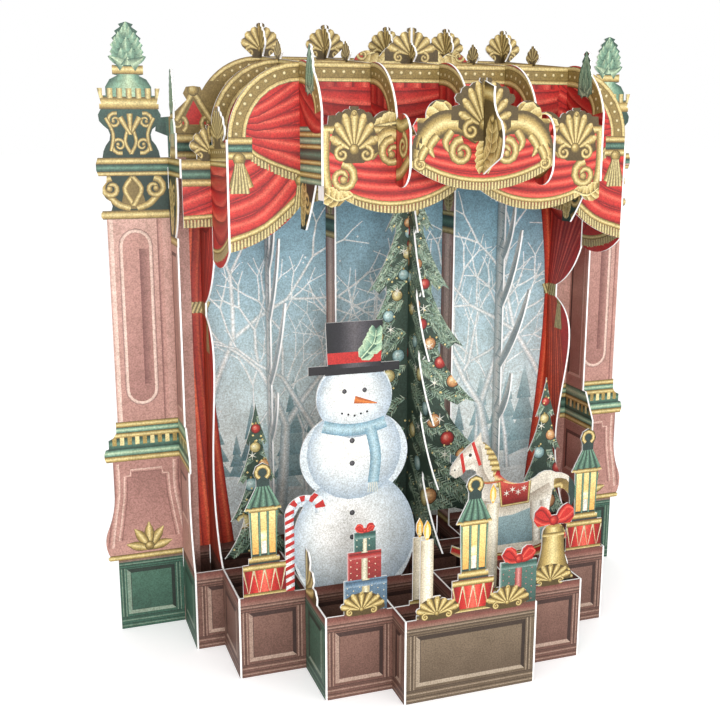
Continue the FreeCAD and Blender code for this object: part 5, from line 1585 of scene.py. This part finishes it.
def card_material():
    """White card, with a little fibre in its colour and surface."""
    material, nodes, links, shader = new_material("white_card")
    coordinates = nodes.new("ShaderNodeTexCoord")
    fibre = noise(nodes, links, coordinates, 1400, 4)
    tint = ramp(nodes, links, fibre.outputs["Fac"], 0.3, 0.7, (0.84, 0.83, 0.80), (0.93, 0.92, 0.90))
    links.new(tint.outputs["Color"], shader.inputs["Base Color"])
    shader.inputs["Roughness"].default_value = 0.7
    paper_bump(nodes, links, fibre.outputs["Fac"], shader, 0.3)
    return material


PRINTS = {
    "printed_card_backdrop": printed_material("ink_backdrop", 1.0),
    "printed_card_fir": printed_material("ink_fir", 0.96),
    "printed_card_valances": printed_material("ink_valances", 0.94),
    "printed_card_fronts": printed_material("ink_fronts", 0.98),
    "printed_card_ribs": printed_material("ink_ribs", 0.96),
}

LAYERS = [
    ("back_scene", back_scene, "printed_card_backdrop"),
    ("fir_screen", fir_screen, "printed_card_fir"),
    ("stage_valance", stage_valance, "printed_card_valances"),
    ("stage_front", stage_front, "printed_card_fronts"),
    ("pit_valance", pit_valance, "printed_card_valances"),
    ("pit_front", pit_front, "printed_card_fronts"),
    ("crest_valance", crest_valance, "printed_card_valances"),
    ("box_front", box_front, "printed_card_fronts"),
]
RIBS = [
    (["fir_rib"], fir_rib, "printed_card_fir"),
    (["post_rib_left", "post_rib_right"], post_rib, "printed_card_ribs"),
    (["branch_rib_left", "branch_rib_right"], branch_rib, "printed_card_ribs"),
    (["curtain_rib_left", "curtain_rib_right"], curtain_rib, "printed_card_ribs"),
    (["pillar_rib_left", "pillar_rib_right"], pillar_rib, "printed_card_ribs"),
]


def upright(depth):
    return lambda v: (v[0] / 1000, depth / 1000, v[1] / 1000)


def sideways(across):
    return lambda v: (across / 1000, v[0] / 1000, v[1] / 1000)


white_card = card_material()
for node in frame["nodes"].values():
    node.data.materials.clear()
    node.data.materials.append(white_card)

for node, draw, slot in LAYERS:
    drawing = planar_map(outlines(node, 0), draw())
    lay(f"{node}_print", drawing, upright(plane_of(node) - CARD / 2 - LIFT), False, slot, PRINTS[slot])

for nodes, draw, slot in RIBS:
    drawing = planar_map(outlines(nodes[0], 1), draw())
    for node in nodes:
        across = across_of(node)
        lay(f"{node}_print_right", drawing, sideways(across + CARD / 2 + LIFT), False, slot,
            PRINTS[slot])
        lay(f"{node}_print_left", drawing, sideways(across - CARD / 2 - LIFT), True, slot, PRINTS[slot])


# Stage: pale floor, white world, soft lamps and the photograph's camera
FLOOR_HALF = 6
FLOOR_GLOW = 0.36
WORLD_LIGHT = 0.8
SENSOR_WIDTH = 36.0
FOCAL_LENGTH = SENSOR_WIDTH * 1038.66 / 720
CAMERA_PLACE = (-0.1111, -0.2632, 0.1492)
CAMERA_DROP = 12.585
CAMERA_TURN = 18.968
LAMPS = [
    ("key", (-0.6, -0.9, 0.55), (0, 0, 0.08), 0.6, 3.0),
    ("fill", (0.6, -0.9, 0.3), (0, 0, 0.08), 0.7, 3.3),
    ("front", (-0.12, -1.1, 0.14), (0, 0.02, 0.09), 0.45, 7.6),
]


def floor():
    mesh = bpy.data.meshes.new("floor")
    corners = [(x * FLOOR_HALF, y * FLOOR_HALF, 0) for x, y in ((-1, -1), (1, -1), (1, 1), (-1, 1))]
    mesh.from_pydata(corners, [], [(0, 1, 2, 3)])
    piece = bpy.data.objects.new("floor", mesh)
    bpy.context.scene.collection.objects.link(piece)
    material, nodes, links, shader = new_material("floor_white")
    shader.inputs["Base Color"].default_value = (0.86, 0.86, 0.86, 1)
    shader.inputs["Roughness"].default_value = 0.9
    light_path = nodes.new("ShaderNodeLightPath")
    glow = nodes.new("ShaderNodeMath")
    glow.operation = "MULTIPLY"
    glow.inputs[1].default_value = FLOOR_GLOW
    links.new(light_path.outputs["Is Camera Ray"], glow.inputs[0])
    shader.inputs["Emission Color"].default_value = (1, 1, 1, 1)
    links.new(glow.outputs["Value"], shader.inputs["Emission Strength"])
    mesh.materials.append(material)


def world():
    scene = bpy.context.scene
    scene.world = bpy.data.worlds.new("studio")
    scene.world.use_nodes = True
    nodes, links = scene.world.node_tree.nodes, scene.world.node_tree.links
    nodes.clear()
    output = nodes.new("ShaderNodeOutputWorld")
    background = nodes.new("ShaderNodeBackground")
    light_path = nodes.new("ShaderNodeLightPath")
    strength = nodes.new("ShaderNodeMapRange")
    strength.inputs["To Min"].default_value = WORLD_LIGHT
    strength.inputs["To Max"].default_value = 1.0
    links.new(light_path.outputs["Is Camera Ray"], strength.inputs["Value"])
    links.new(strength.outputs["Result"], background.inputs["Strength"])
    background.inputs["Color"].default_value = (1, 1, 1, 1)
    links.new(background.outputs["Background"], output.inputs["Surface"])


def lamp(name, place, aim, size, power):
    data = bpy.data.lights.new(name, "AREA")
    data.size = size
    data.energy = power
    lamp_object = bpy.data.objects.new(name, data)
    bpy.context.scene.collection.objects.link(lamp_object)
    lamp_object.location = place
    lamp_object.rotation_euler = (Vector(aim) - Vector(place)).to_track_quat("-Z", "Y").to_euler()


def camera():
    data = bpy.data.cameras.new("camera")
    data.sensor_width = SENSOR_WIDTH
    data.lens = FOCAL_LENGTH
    data.clip_start = 0.01
    made = bpy.data.objects.new("camera", data)
    bpy.context.scene.collection.objects.link(made)
    made.location = CAMERA_PLACE
    made.rotation_euler = (math.radians(90 - CAMERA_DROP), 0, math.radians(-CAMERA_TURN))
    bpy.context.scene.camera = made


floor()
world()
for name, place, aim, size, power in LAMPS:
    lamp(name, place, aim, size, power)
camera()
bpy.context.scene.view_settings.view_transform = "Standard"
